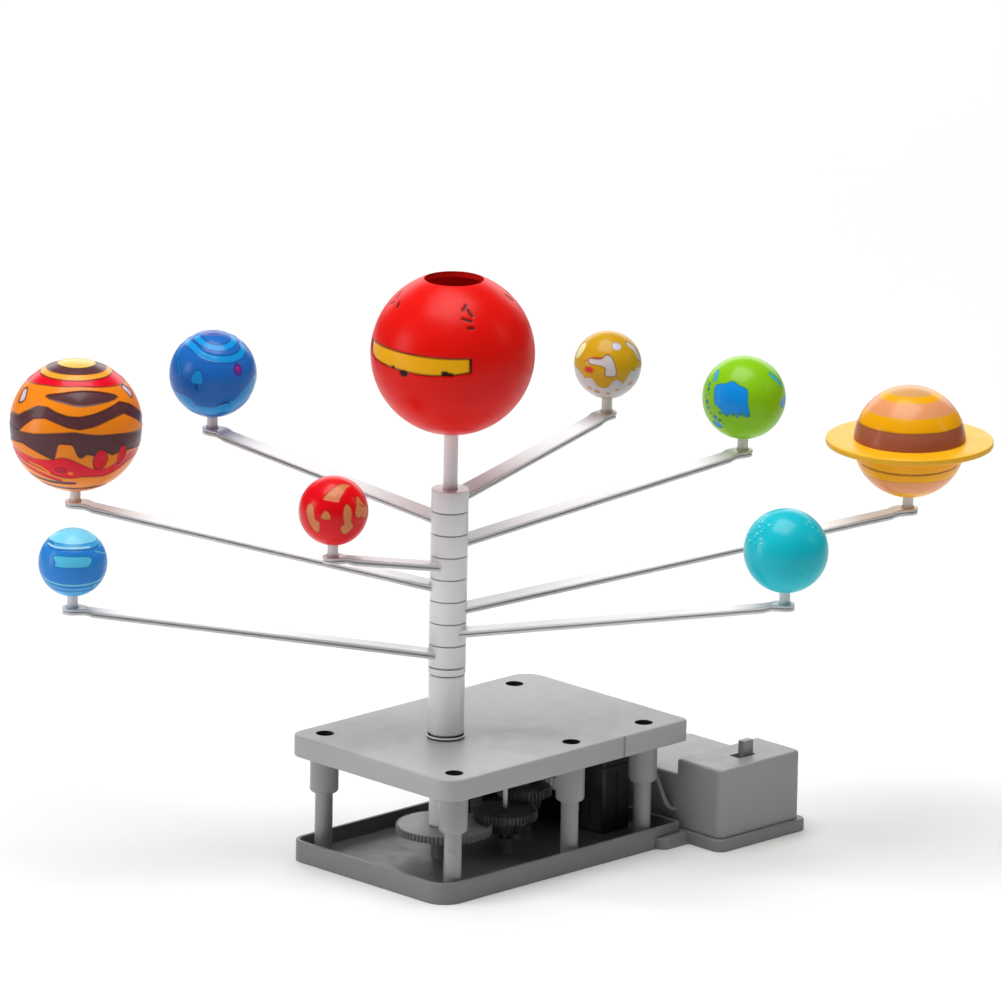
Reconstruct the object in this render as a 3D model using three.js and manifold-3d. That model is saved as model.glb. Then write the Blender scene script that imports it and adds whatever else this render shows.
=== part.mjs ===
// Motorised eight-planet orrery: tray and cover on six posts, gear train, battery box,
// one driven spindle that carries the sun and a stack of eight hubs with planet arms.
// Millimetres, +Z up, origin on the spindle axis at the underside of the tray.

import * as THREE from "three";
import * as BufferGeometryUtils from "three/addons/utils/BufferGeometryUtils.js";
import Module from "manifold-3d";

const wasm = await Module();
wasm.setup();

// ---------- driving dimensions ----------
const GAP = 0.3;                 // clearance kept between touching pieces
const LAP = 0.05;                // depth that two joined solids share
const CUT = 1;                   // how far a cutting solid passes the face it opens
const FACETS = { small: 12, medium: 20, large: 28 };

const TRAY = { x0: -42.3, x1: 86, y0: -42.8, y1: 40.8, height: 8.4, floor: 2.5, wall: 1.6 };
const TRAY_RADIUS = { near: 9, right: 2, smallest: 0.6 };
const BOSS = { wall: 1.8, top: 8 };
const COVER = { x0: -41.8, x1: 87, y0: -44.9, y1: 43, top: 49.5, skirt: 8.5, roof: 2.5, wall: 2 };
const COVER_RADIUS = 9;
const LEFT_RADIUS = 6;          // tighter corner at the far left of tray and cover
const COVER_SHARP_RADIUS = 3;
const COVER_SLOT = { x: 50.6, width: 1.6, depth: 0.7 };
const POST_X = [-31.3, 31.2, 70.5];
const POST_Y = [-36.3, 33.6];
const POST = { sleeve: 5.5, stud: 3.4, foot: 3.8, footHeight: 1.6, step: 26.6, chamfer: 0.7 };
const SCREW = { head: 2.9, headHeight: 2, shank: 1.3, length: 12, point: 1, well: 3.5, seat: 40 };
const RECESS = { half: 1.7, width: 0.6, depth: 0.8 };

const SPINDLE_RADIUS = 2.75;
const BORE_RADIUS = SPINDLE_RADIUS + GAP;
const SPINDLE_FOOT = 3.1;
const SLEEVE = { inner: 5.9, outer: 6.9, shoulder: 51.6, top: 74.6 };
const BEARING = { inner: 6.2, outer: 7.4, height: 1.3 };
const COLLAR = { radius: 7.15, bottom: 74.9, top: 77.8 };
const HUB = { radius: 7.15, pitch: 8.72, base: 78.1, count: 8 };

const SUN = { radius: 31.7, wall: 2, centre: 200.4, mouth: 11.3, socket: 5.2, socketDepth: 10 };

const ARM = { slope: 0.187, thick: 2.6, rootWidth: 8.8, padWidth: 7.8, pad: 10, bend: 2, lift: 3.5 };
const PIN = { radius: 2.07, show: 4.5, depth: 7 };

const PLANETS = [
  { name: "mercury", reach: 89.5, turn: 3.5, radius: 13, show: 5.5, color: 0xc9a83a },
  { name: "venus", reach: 106, turn: 104.5, radius: 16.7, show: PIN.show, color: 0x1f6fc4 },
  { name: "earth", reach: 124.5, turn: -18.5, radius: 16, show: PIN.show, color: 0x6cbf2c },
  { name: "mars", reach: 50.5, turn: 165, radius: 13.2, show: PIN.show, color: 0xc62a1c },
  { name: "jupiter", reach: 143, turn: 129, radius: 25.3, show: PIN.show, color: 0xd9822b },
  { name: "saturn", reach: 178, turn: -33.5, radius: 21.5, show: PIN.show, color: 0xf0a94c },
  { name: "uranus", reach: 133, turn: -63, radius: 16, show: PIN.show, color: 0x31b6c9 },
  { name: "neptune", reach: 147.5, turn: 152, radius: 13, show: PIN.show, color: 0x3d97dc },
];
const SATURN_RING = { outer: 32, thick: 2.3, grip: 1.2 };

const TOOTH = { module: 0.5, addendum: 0.85, dedendum: 1.15, tipShare: 0.11, rootShare: 0.27 };
const MESH_SLACK = 0.2;          // added to each pair's pitch distance
const AXLE_RADIUS = 1;
const AXLE_BORE = AXLE_RADIUS + GAP;
const MAIN_GEAR = { teeth: 72, z0: 12, z1: 14.8, hub: 4.6, hubBottom: 9.2 };
const GEAR_B = { x: 21.2, y: -11.7, small: 24, smallZ: 10.3, large: 48, largeZ: 16, top: 19 };
const GEAR_C = { x: 38.1, y: -5, small: 24, smallZ: 15.6, large: 40, largeZ: 20.4, top: 23.6 };
const GEAR_HUB = { radius: 3, rise: 0.7 };
const MOTOR = { x: 53.2, y: -3, z0: 26.5, z1: 45, radius: 10, flat: 7.5, shaft: 1 };
const MOTOR_NOSE = { radius: 3, length: 1.5, shaftRoom: 6 };
const PINION = { teeth: 20, z0: 19.9, z1: 24.6 };
const REAR_HOUSING = { x0: 30, x1: 79, y0: 9, y1: 27, top: 46.4 };
const SIDE_HOUSING = { x0: 64, x1: 79, y0: -22, y1: 8.7, top: 34 };
const HOUSING_WALL = 1.5;
const MOUNT = { halfX: 12, halfY: 9.5, z0: 36, z1: 46.7, windowX: 4, windowY: 3 };

const BOX = { x0: 87.8, x1: 132, y0: -61.5, y1: -1, low: 25.8, high: 32, step: -37.8, wall: 1.8 };
const BOX_RADIUS = 3;
const FLANGE = { x0: 86.3, x1: 134.8, y0: -63.2, y1: 1, height: 4.8, radius: 4 };
const LUG = { x: 76, y: -42.4, radius: 3.9, height: 4.3 };
const LUG_POCKET = 4.8;
const SWITCH = { x0: 105.8, x1: 115, y0: -53.6, y1: -48, knob: 5.4, knobY: 3.3, rise: 5.8 };
const SWITCH_FOOT = { left: 7, right: 3.6, halfY: 3.6, thick: 1.2 };
const SWITCH_BODY = { margin: 5, halfY: 4, height: 5.5 };
const CELL = { radius: 7.1, length: 49.5, tip: 2.7, tipLength: 1, y0: -56.8, z: 12.9 };
const CELL_X = [101.6, 117];
const CONTACT = { half: 4, thick: 0.5, margin: 2 };
const BASE_SCREW = { x: 126.5, y: -30, seat: 2.6 };
const LEAD_RADIUS = 0.8;
const LEAD_PITCH = 2.2;
const LEAD_HOLE = { y: -36, z: 11.5, halfY: 3, halfZ: 1.6 };
const LEAD_ROUTE = [
  [67.6, -3, 41], [72.2, -9, 41], [79.5, -24, 37], [82, -32, 27], [83.2, -35.4, 17],
  [85.5, -36, 11.8], [91, -36, 11.5],
];

// ---------- materials ----------
function plastic(color, roughness = 0.45) {
  return new THREE.MeshStandardMaterial({ color, roughness, metalness: 0 });
}

function metal(color, roughness = 0.3) {
  return new THREE.MeshStandardMaterial({ color, roughness, metalness: 1 });
}

const GREY = 0x8b8a8b;
const DARK_GREY = 0x4c4b4d;
const WHITE = 0xe6e6e8;
const STEEL = 0xb9bcc0;

// ---------- solids ----------
function solid(geometry) {
  geometry.deleteAttribute("normal");
  geometry.deleteAttribute("uv");
  const merged = BufferGeometryUtils.mergeVertices(geometry, 1e-4);
  const vertProperties = new Float32Array(merged.attributes.position.array);
  const triVerts = new Uint32Array(merged.index.array);
  return new wasm.Manifold(new wasm.Mesh({ numProp: 3, vertProperties, triVerts }));
}

function geometryOf(manifold) {
  const mesh = manifold.getMesh();
  const geometry = new THREE.BufferGeometry();
  geometry.setAttribute("position", new THREE.BufferAttribute(mesh.vertProperties, 3));
  geometry.setIndex(new THREE.BufferAttribute(mesh.triVerts, 1));
  return geometry;
}

function prism(shape, z0, z1, curveSegments = 3) {
  const geometry = new THREE.ExtrudeGeometry(shape, {
    depth: z1 - z0, bevelEnabled: false, curveSegments,
  });
  return solid(geometry.translate(0, 0, z0));
}

// The outline runs anticlockwise in the (radius, height) plane, from axis to axis or closed.
function lathe(points, segments) {
  const outline = points.map(([r, z]) => new THREE.Vector2(r, z));
  const geometry = new THREE.LatheGeometry(outline, segments);
  return solid(geometry.rotateX(Math.PI / 2));
}

function rod(x, y, radius, z0, z1, segments = 16) {
  const geometry = new THREE.CylinderGeometry(radius, radius, z1 - z0, segments);
  geometry.rotateX(Math.PI / 2);
  return solid(geometry.translate(x, y, (z0 + z1) / 2));
}

function block(x0, x1, y0, y1, z0, z1) {
  const geometry = new THREE.BoxGeometry(x1 - x0, y1 - y0, z1 - z0);
  return solid(geometry.translate((x0 + x1) / 2, (y0 + y1) / 2, (z0 + z1) / 2));
}

// Rectangle with one radius per corner, starting at (x0, y0) and going round anticlockwise.
function roundedRect(x0, x1, y0, y1, radii) {
  const [a, b, c, d] = radii;
  const quarter = Math.PI / 2;
  const shape = new THREE.Shape();
  shape.moveTo(x0 + a, y0);
  shape.lineTo(x1 - b, y0);
  shape.absarc(x1 - b, y0 + b, b, -quarter, 0, false);
  shape.lineTo(x1, y1 - c);
  shape.absarc(x1 - c, y1 - c, c, 0, quarter, false);
  shape.lineTo(x0 + d, y1);
  shape.absarc(x0 + d, y1 - d, d, quarter, 2 * quarter, false);
  shape.lineTo(x0, y0 + a);
  shape.absarc(x0 + a, y0 + a, a, 2 * quarter, 3 * quarter, false);
  return shape;
}

const group = new THREE.Group();

function add(name, body, material) {
  const mesh = new THREE.Mesh(geometryOf(body), material);
  mesh.name = name;
  group.add(mesh);
  return mesh;
}

// ---------- base ----------
function tray() {
  const { x0, x1, y0, y1, height, floor, wall } = TRAY;
  const { near, right, smallest } = TRAY_RADIUS;
  const outer = [near, right, right, LEFT_RADIUS];
  const inner = outer.map((r) => Math.max(r - wall, smallest));
  let body = prism(roundedRect(x0, x1, y0, y1, outer), 0, height);
  const hollow = roundedRect(x0 + wall, x1 - wall, y0 + wall, y1 - wall, inner);
  body = body.subtract(prism(hollow, floor, height + CUT));
  const bosses = [[0, 0, BORE_RADIUS], [GEAR_B.x, GEAR_B.y, AXLE_BORE], [GEAR_C.x, GEAR_C.y, AXLE_BORE]];
  for (const [x, y, bore] of bosses) {
    body = body.add(rod(x, y, bore + BOSS.wall, floor - LAP, BOSS.top, FACETS.medium));
    body = body.subtract(rod(x, y, bore, floor + LAP, BOSS.top + CUT, FACETS.medium));
  }
  const reach = LUG.radius + GAP;
  const pocket = rod(LUG.x, LUG.y, reach, -CUT, LUG_POCKET, FACETS.medium)
    .add(block(LUG.x, x1 + CUT, LUG.y - reach, LUG.y + reach, -CUT, LUG_POCKET));
  return body.subtract(pocket);
}

function cover() {
  const { x0, x1, y0, y1, top, skirt, roof, wall } = COVER;
  const outer = [COVER_RADIUS, COVER_SHARP_RADIUS, COVER_RADIUS, LEFT_RADIUS];
  const inner = outer.map((r) => r - wall);
  let body = prism(roundedRect(x0, x1, y0, y1, outer), top - skirt, top);
  const hollow = roundedRect(x0 + wall, x1 - wall, y0 + wall, y1 - wall, inner);
  body = body.subtract(prism(hollow, top - skirt - CUT, top - roof));
  for (const x of POST_X) {
    for (const y of POST_Y) {
      body = body.subtract(rod(x, y, SCREW.well, top - roof - CUT, top + CUT, FACETS.small));
    }
  }
  const hole = rod(0, 0, BEARING.inner, top - roof - CUT, top + CUT, FACETS.large);
  const { x, width, depth } = COVER_SLOT;
  const slot = block(x, x + width, y0 - CUT, y0 + depth, top - skirt - CUT, top + CUT);
  return body.subtract(hole).subtract(slot);
}

// Stepped spacer: stud on the tray floor, wider sleeve up to the cover, open screw well on top.
function post(x, y) {
  const { sleeve, stud, foot, footHeight, step, chamfer } = POST;
  const base = TRAY.floor + GAP;
  const top = COVER.top - COVER.roof - GAP;
  const { well, seat, shank, length } = SCREW;
  const profile = [
    [0, base], [foot, base], [stud, base + footHeight], [stud, step], [sleeve - chamfer, step],
    [sleeve, step + chamfer], [sleeve, top], [well, top], [well, seat],
    [shank + GAP, seat], [shank + GAP, seat - length], [0, seat - length],
  ];
  return lathe(profile, FACETS.small).translate([x, y, 0]);
}

// Pan-head screw whose head rests on the seat; direction -1 turns it upside down.
function screw(x, y, seat, direction = 1) {
  const { head, headHeight, shank, length, point } = SCREW;
  const { half, width, depth } = RECESS;
  const profile = [
    [0, point - length], [shank, 2 * point - length], [shank, 0], [head, 0],
    [head, headHeight * 0.75], [head * 0.8, headHeight], [0, headHeight],
  ];
  const floor = headHeight - depth;
  const recess = block(-half, half, -width / 2, width / 2, floor, headHeight + CUT)
    .add(block(-width / 2, width / 2, -half, half, floor, headHeight + CUT));
  const body = lathe(profile, FACETS.small).subtract(recess);
  const turned = direction > 0 ? body : body.rotate([180, 0, 0]);
  return turned.translate([x, y, seat + GAP * direction]);
}

// ---------- gears ----------
function gearShape(teeth, phase) {
  const { module, addendum, dedendum, tipShare, rootShare } = TOOTH;
  const pitchRadius = (module * teeth) / 2;
  const tip = pitchRadius + addendum * module;
  const root = pitchRadius - dedendum * module;
  const pitchAngle = (2 * Math.PI) / teeth;
  const corners = [[-rootShare, root], [-tipShare, tip], [tipShare, tip], [rootShare, root]];
  const points = [];
  for (let i = 0; i < teeth; i += 1) {
    for (const [share, r] of corners) {
      const angle = phase + (i + share) * pitchAngle;
      points.push(new THREE.Vector2(r * Math.cos(angle), r * Math.sin(angle)));
    }
  }
  return new THREE.Shape(points);
}

function gear(x, y, teeth, phase, z0, z1) {
  return prism(gearShape(teeth, phase), z0, z1).translate([x, y, 0]);
}

function bearing(from, to) {
  return Math.atan2(to.y - from.y, to.x - from.x);
}

// Phase that puts a gap, instead of a tooth, on the line back to the driving gear.
function gapPhase(towards, teeth) {
  return towards + Math.PI + Math.PI / teeth;
}

function mainGear() {
  const { teeth, z0, z1, hub, hubBottom } = MAIN_GEAR;
  return gear(0, 0, teeth, bearing({ x: 0, y: 0 }, GEAR_B), z0, z1)
    .add(rod(0, 0, hub, hubBottom, z0 + LAP, FACETS.medium))
    .subtract(rod(0, 0, BORE_RADIUS, hubBottom - CUT, z1 + CUT, FACETS.medium));
}

function compoundGear(place, smallPhase, largePhase) {
  const { x, y, small, smallZ, large, largeZ, top } = place;
  const { radius, rise } = GEAR_HUB;
  return gear(x, y, small, smallPhase, smallZ, largeZ + LAP)
    .add(gear(x, y, large, largePhase, largeZ, top))
    .add(rod(x, y, radius, top - LAP, top + rise, FACETS.small))
    .subtract(rod(x, y, AXLE_BORE, smallZ - CUT, top + rise + CUT, FACETS.small));
}

// ---------- column ----------
function spindle() {
  const top = SUN.centre - SUN.radius + SUN.socketDepth - GAP;
  return rod(0, 0, SPINDLE_RADIUS, SPINDLE_FOOT, top, FACETS.medium);
}

function driveSleeve() {
  const { inner, outer, shoulder, top } = SLEEVE;
  const bottom = MAIN_GEAR.z1 + GAP;
  return lathe([
    [BORE_RADIUS, bottom], [inner, bottom], [inner, shoulder], [outer, shoulder],
    [outer, top], [BORE_RADIUS, top], [BORE_RADIUS, bottom],
  ], FACETS.large);
}

function ringAround(inner, outer, z0, z1, segments = FACETS.large) {
  return lathe([[inner, z0], [outer, z0], [outer, z1], [inner, z1], [inner, z0]], segments);
}

function sunShell() {
  const { radius, wall, centre, mouth, socket, socketDepth } = SUN;
  const steps = 8;
  const points = [];
  const arc = (r, from, to) => {
    for (let i = 0; i <= steps; i += 1) {
      const a = from + ((to - from) * i) / steps;
      points.push([r * Math.sin(a), centre - r * Math.cos(a)]);
    }
  };
  const inside = radius - wall;
  arc(radius, Math.asin(BORE_RADIUS / radius), Math.PI - Math.asin(mouth / radius));
  arc(inside, Math.PI - Math.asin(mouth / inside), Math.asin(socket / inside));
  const socketTop = centre - radius + socketDepth;
  points.push([socket, socketTop], [BORE_RADIUS, socketTop], points[0]);
  return lathe(points, 22);
}

// ---------- arms and planets ----------
function hubBase(index) {
  return HUB.base + (HUB.count - 1 - index) * HUB.pitch;
}

function padTop(index, reach) {
  return hubBase(index) + ARM.lift + ARM.slope * reach + ARM.thick / 2;
}

function armSideProfile(reach, lift) {
  const { slope, thick, pad, bend } = ARM;
  const half = thick / 2;
  const padStart = reach - pad * 0.55;
  const end = reach + pad;
  const level = lift + slope * reach;
  const rise = (x) => lift + slope * x;
  return new THREE.Shape([
    new THREE.Vector2(0, lift - half), new THREE.Vector2(padStart, rise(padStart) - half),
    new THREE.Vector2(padStart + bend, level - half), new THREE.Vector2(end, level - half),
    new THREE.Vector2(end, level + half), new THREE.Vector2(padStart, level + half),
    new THREE.Vector2(0, lift + half + (level - rise(padStart))),
  ]);
}

function armPlan(reach) {
  const { rootWidth, padWidth } = ARM;
  const plan = new THREE.Shape();
  const r = padWidth / 2;
  plan.moveTo(0, -rootWidth / 2);
  plan.lineTo(reach, -r);
  plan.absarc(reach, 0, r, -Math.PI / 2, Math.PI / 2, false);
  plan.lineTo(0, rootWidth / 2);
  plan.closePath();
  return plan;
}

function arm(index, planet) {
  const { reach, show } = planet;
  const base = hubBase(index);
  const height = HUB.pitch - GAP;
  const side = new THREE.ExtrudeGeometry(armSideProfile(reach, base + ARM.lift), {
    depth: ARM.rootWidth + 2 * CUT, bevelEnabled: false,
  });
  side.rotateX(Math.PI / 2).translate(0, ARM.rootWidth / 2 + CUT, 0);
  const top = padTop(index, reach);
  const bar = solid(side).intersect(prism(armPlan(reach), base, top + CUT, 5));
  const pinTop = top + show + PIN.depth;
  return bar
    .add(rod(0, 0, HUB.radius, base, base + height, FACETS.medium))
    .add(rod(reach, 0, PIN.radius, top - ARM.thick / 2, pinTop, FACETS.small))
    .subtract(rod(0, 0, BORE_RADIUS, base - CUT, base + height + CUT));
}

// Ball with a blind socket for its pin; the outline starts at the socket's top centre.
function ballBody(radius, centre, socketDepth) {
  const rings = 8;
  const socket = PIN.radius + GAP;
  const start = Math.asin(socket / radius);
  const socketTop = centre - radius + socketDepth + GAP;
  const points = [[0, socketTop], [socket, socketTop]];
  for (let i = 0; i < rings; i += 1) {
    const a = start + ((Math.PI - start) * i) / rings;
    points.push([radius * Math.sin(a), centre - radius * Math.cos(a)]);
  }
  points.push([0, centre + radius]);
  return lathe(points, 16);
}

function ballCentre(index, planet) {
  return padTop(index, planet.reach) + planet.show + planet.radius;
}

function addPlanet(index, planet) {
  const { name, reach, turn, radius, color } = planet;
  const centre = ballCentre(index, planet);
  const place = [0, 0, turn];
  add(`arm_${name}`, arm(index, planet).rotate(place), plastic(WHITE, 0.4));
  let ball = ballBody(radius, centre, PIN.depth);
  if (name === "saturn") {
    const { outer, thick, grip } = SATURN_RING;
    const seat = radius - grip;
    const half = thick / 2;
    const groove = ringAround(seat, outer, centre - half - GAP, centre + half + GAP, 16);
    const ring = ringAround(seat + GAP, outer, centre - half, centre + half, 32);
    ball = ball.subtract(groove);
    add("saturn_ring", ring.translate([reach, 0, 0]).rotate(place), plastic(0xf2a413, 0.35));
  }
  add(`planet_${name}`, ball.translate([reach, 0, 0]).rotate(place), plastic(color, 0.3));
}

// ---------- drive ----------
function motorCan() {
  const { x, y, z0, z1, radius, flat, shaft } = MOTOR;
  const nose = MOTOR_NOSE;
  const can = rod(0, 0, radius, z0, z1, FACETS.large)
    .intersect(block(-radius, radius, -flat, flat, z0, z1))
    .add(rod(0, 0, nose.radius, z0 - nose.length, z0 + LAP))
    .subtract(rod(0, 0, shaft + GAP, z0 - nose.length - CUT, z0 + nose.shaftRoom, FACETS.small));
  return can.translate([x, y, 0]);
}

function motorPinion() {
  const { x, y, shaft, z0 } = MOTOR;
  const phase = gapPhase(bearing(GEAR_C, MOTOR), PINION.teeth);
  const shaftTop = z0 + MOTOR_NOSE.shaftRoom - CUT;
  return gear(x, y, PINION.teeth, phase, PINION.z0, PINION.z1)
    .add(rod(x, y, shaft, PINION.z1 - LAP, shaftTop, FACETS.small));
}

// Clip that holds the upper half of the can, with a window for the leads on its right.
function motorMount() {
  const { x, y } = MOTOR;
  const { halfX, halfY, z0, z1, windowX, windowY } = MOUNT;
  const seatTop = MOTOR.z1 + GAP;
  const roomX = MOTOR.radius + GAP;
  const roomY = MOTOR.flat + GAP;
  return block(-halfX, halfX, -halfY, halfY, z0, z1)
    .subtract(block(-roomX, roomX, -roomY, roomY, z0 - CUT, seatTop))
    .subtract(block(windowX, halfX + CUT, -windowY, windowY, z0 - CUT, seatTop))
    .translate([x, y, 0]);
}

// Casing behind or beside the gear train: a shell standing on the tray floor, open below.
function driveHousing({ x0, x1, y0, y1, top }) {
  const wall = HOUSING_WALL;
  const bottom = TRAY.floor + GAP;
  const plan = roundedRect(x0, x1, y0, y1, [wall, wall, wall, wall]);
  return prism(plan, bottom, top)
    .subtract(block(x0 + wall, x1 - wall, y0 + wall, y1 - wall, bottom - CUT, top - wall));
}

// ---------- battery box ----------
function batteryHousing() {
  const { x0, x1, y0, y1, low, high, step, wall } = BOX;
  const bottom = FLANGE.height + GAP;
  const corners = (radius) => [radius, radius, radius, radius];
  const plan = roundedRect(x0, x1, y0, y1, corners(BOX_RADIUS));
  const room = roundedRect(x0 + wall, x1 - wall, y0 + wall, y1 - wall, corners(BOX_RADIUS - wall / 2));
  const roof = low - wall;
  const nearRoom = y0 + wall + CUT;
  return prism(plan, bottom, high)
    .subtract(block(x0 - CUT, x1 + CUT, step, y1 + CUT, low, high + CUT))
    .subtract(prism(room, bottom - CUT, roof))
    .subtract(block(x0 + wall, x1 - wall, nearRoom, step - wall, roof - CUT, high - wall))
    .subtract(block(SWITCH.x0, SWITCH.x1, SWITCH.y0, SWITCH.y1, high - wall - CUT, high + CUT))
    .subtract(leadHole());
}

function leadHole() {
  const { y, z, halfY, halfZ } = LEAD_HOLE;
  return block(BOX.x0 - CUT, BOX.x0 + BOX.wall + CUT, y - halfY, y + halfY, z - halfZ, z + halfZ);
}

function batteryBase() {
  const { x0, x1, y0, y1, height, radius } = FLANGE;
  const plan = roundedRect(x0, x1, y0, y1, [radius, radius, radius, radius]);
  const tongue = rod(LUG.x, LUG.y, LUG.radius, 0, LUG.height, FACETS.medium)
    .add(block(LUG.x, x0 + CUT, LUG.y - LUG.radius, LUG.y + LUG.radius, 0, LUG.height));
  const { x, y, seat } = BASE_SCREW;
  return prism(plan, 0, height)
    .add(tongue)
    .subtract(rod(x, y, SCREW.head + GAP, -CUT, seat))
    .subtract(rod(x, y, SCREW.shank + GAP, 0, height + CUT, FACETS.small));
}

function cell(x) {
  const { radius, length, tip, tipLength, y0, z } = CELL;
  const body = lathe([
    [0, 0], [radius, 0], [radius, length - tipLength], [tip, length - tipLength],
    [tip, length], [0, length],
  ], 24);
  return body.rotate([-90, 0, 0]).translate([x, y0, z]);
}

function contactPlate(x0, x1, y) {
  const { thick, margin } = CONTACT;
  const { radius, z } = CELL;
  return block(x0, x1, y, y + thick, z - radius + margin, z + radius - margin);
}

function switchKnob() {
  const { x1, y0, y1, knob, knobY, rise } = SWITCH;
  const { left, right, halfY, thick } = SWITCH_FOOT;
  const y = (y0 + y1) / 2;
  const edge = x1 - GAP;
  const middle = edge - knob / 2;
  const footTop = BOX.high - BOX.wall - GAP;
  return block(edge - knob, edge, y - knobY / 2, y + knobY / 2, footTop - thick / 2, BOX.high + rise)
    .add(block(middle - left, middle + right, y - halfY, y + halfY, footTop - thick, footTop));
}

function switchBody() {
  const { x0, x1, y0, y1 } = SWITCH;
  const { margin, halfY, height } = SWITCH_BODY;
  const y = (y0 + y1) / 2;
  const top = BOX.high - BOX.wall - SWITCH_FOOT.thick - 2 * GAP;
  return block(x0 - margin, x1 + margin, y - halfY, y + halfY, top - height, top);
}

// ---------- motor leads ----------
// The pair runs side by side, spread square to its diagonal course towards the battery box.
function leadPath(side) {
  const spread = (side * LEAD_PITCH) / 2;
  const points = LEAD_ROUTE.map(([x, y, z]) => new THREE.Vector3(x + spread, y + spread, z));
  return new THREE.CatmullRomCurve3(points);
}

function lead(side) {
  const section = new THREE.Shape();
  section.absarc(0, 0, LEAD_RADIUS, 0, 2 * Math.PI, false);
  const geometry = new THREE.ExtrudeGeometry(section, {
    extrudePath: leadPath(side), steps: 18, bevelEnabled: false, curveSegments: 4,
  });
  return solid(geometry);
}

// ---------- assembly ----------
add("base_tray", tray(), plastic(GREY));
add("top_cover", cover(), plastic(GREY));
const SIDE_NAMES = ["near", "far"];
const ALONG_NAMES = ["left", "middle", "right"];
POST_Y.forEach((y, side) => {
  POST_X.forEach((x, along) => {
    const place = `${SIDE_NAMES[side]}_${ALONG_NAMES[along]}`;
    add(`post_${place}`, post(x, y), plastic(GREY));
    add(`screw_${place}`, screw(x, y, SCREW.seat), metal(STEEL));
  });
});
const ringBottom = COVER.top + GAP;
const bearingRing = ringAround(BEARING.inner, BEARING.outer, ringBottom, ringBottom + BEARING.height);
add("bearing_ring", bearingRing, plastic(WHITE));

add("main_gear", mainGear(), plastic(GREY));
add("spindle", spindle(), plastic(WHITE));
add("drive_sleeve", driveSleeve(), plastic(WHITE));
const collarRing = ringAround(BORE_RADIUS, COLLAR.radius, COLLAR.bottom, COLLAR.top);
add("column_collar", collarRing, plastic(WHITE));
add("sun", sunShell(), plastic(0xd8231b, 0.3));

const phaseB = gapPhase(bearing({ x: 0, y: 0 }, GEAR_B), GEAR_B.small);
add("gear_b", compoundGear(GEAR_B, phaseB, bearing(GEAR_B, GEAR_C)), plastic(DARK_GREY));
const phaseC = gapPhase(bearing(GEAR_B, GEAR_C), GEAR_C.small);
add("gear_c", compoundGear(GEAR_C, phaseC, bearing(GEAR_C, MOTOR)), plastic(DARK_GREY));
const axle = ({ x, y }) => {
  const top = COVER.top - COVER.roof - GAP;
  return rod(x, y, AXLE_RADIUS, TRAY.floor + 2 * GAP, top, FACETS.small);
};
add("axle_b", axle(GEAR_B), metal(STEEL));
add("axle_c", axle(GEAR_C), metal(STEEL));
add("motor", motorCan(), metal(STEEL));
add("motor_pinion", motorPinion(), plastic(WHITE));
add("motor_mount", motorMount(), plastic(DARK_GREY));
add("rear_housing", driveHousing(REAR_HOUSING), plastic(DARK_GREY));
add("side_housing", driveHousing(SIDE_HOUSING), plastic(DARK_GREY));

PLANETS.forEach((planet, index) => addPlanet(index, planet));

add("battery_housing", batteryHousing(), plastic(GREY));
add("battery_base", batteryBase(), plastic(GREY));
add("battery_screw", screw(BASE_SCREW.x, BASE_SCREW.y, BASE_SCREW.seat, -1), metal(STEEL));
add("cell_a", cell(CELL_X[0]), plastic(0x3b6d4a));
add("cell_b", cell(CELL_X[1]), plastic(0x3b6d4a));
const nearContactY = CELL.y0 - GAP - CONTACT.thick;
const farContactY = CELL.y0 + CELL.length + GAP;
const { half: contactHalf } = CONTACT;
const bridge = contactPlate(CELL_X[0] - contactHalf, CELL_X[1] + contactHalf, nearContactY);
add("contact_bridge", bridge, metal(STEEL));
CELL_X.forEach((x, index) => {
  const plate = contactPlate(x - contactHalf, x + contactHalf, farContactY);
  add(`contact_${"ab"[index]}`, plate, metal(STEEL));
});
add("switch_body", switchBody(), plastic(DARK_GREY));
add("switch_knob", switchKnob(), plastic(DARK_GREY));
add("lead_a", lead(-1), plastic(DARK_GREY));
add("lead_b", lead(1), plastic(DARK_GREY));

export default group;
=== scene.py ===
# Visual model of the motorised orrery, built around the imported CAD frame. Metres throughout.
import math

import bmesh
import bpy
import numpy as np
from mathutils import Matrix, Vector


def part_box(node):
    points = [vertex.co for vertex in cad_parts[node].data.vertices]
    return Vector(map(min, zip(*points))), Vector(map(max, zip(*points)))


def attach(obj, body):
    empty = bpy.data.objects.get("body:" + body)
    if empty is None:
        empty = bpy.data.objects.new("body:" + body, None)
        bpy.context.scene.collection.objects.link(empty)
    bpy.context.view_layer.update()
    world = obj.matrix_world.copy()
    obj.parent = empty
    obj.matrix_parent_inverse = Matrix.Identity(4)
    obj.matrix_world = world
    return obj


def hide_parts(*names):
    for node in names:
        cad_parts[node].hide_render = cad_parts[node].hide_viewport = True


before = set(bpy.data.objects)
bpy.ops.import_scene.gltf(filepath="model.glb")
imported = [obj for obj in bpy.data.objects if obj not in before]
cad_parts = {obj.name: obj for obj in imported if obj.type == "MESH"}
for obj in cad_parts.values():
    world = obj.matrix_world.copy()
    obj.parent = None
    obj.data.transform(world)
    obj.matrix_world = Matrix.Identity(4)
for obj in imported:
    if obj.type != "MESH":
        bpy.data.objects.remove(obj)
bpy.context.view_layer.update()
MM = 0.001

# ---------- camera ----------
AZIMUTH, ELEVATION, ROLL = -45.175, 15.506, 1.116
DISTANCE = 5.0
AIM_RIGHT, AIM_UP = 0.02197, 0.13728
VIEW_WIDTH = 0.3819
SENSOR = 36.0


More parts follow.
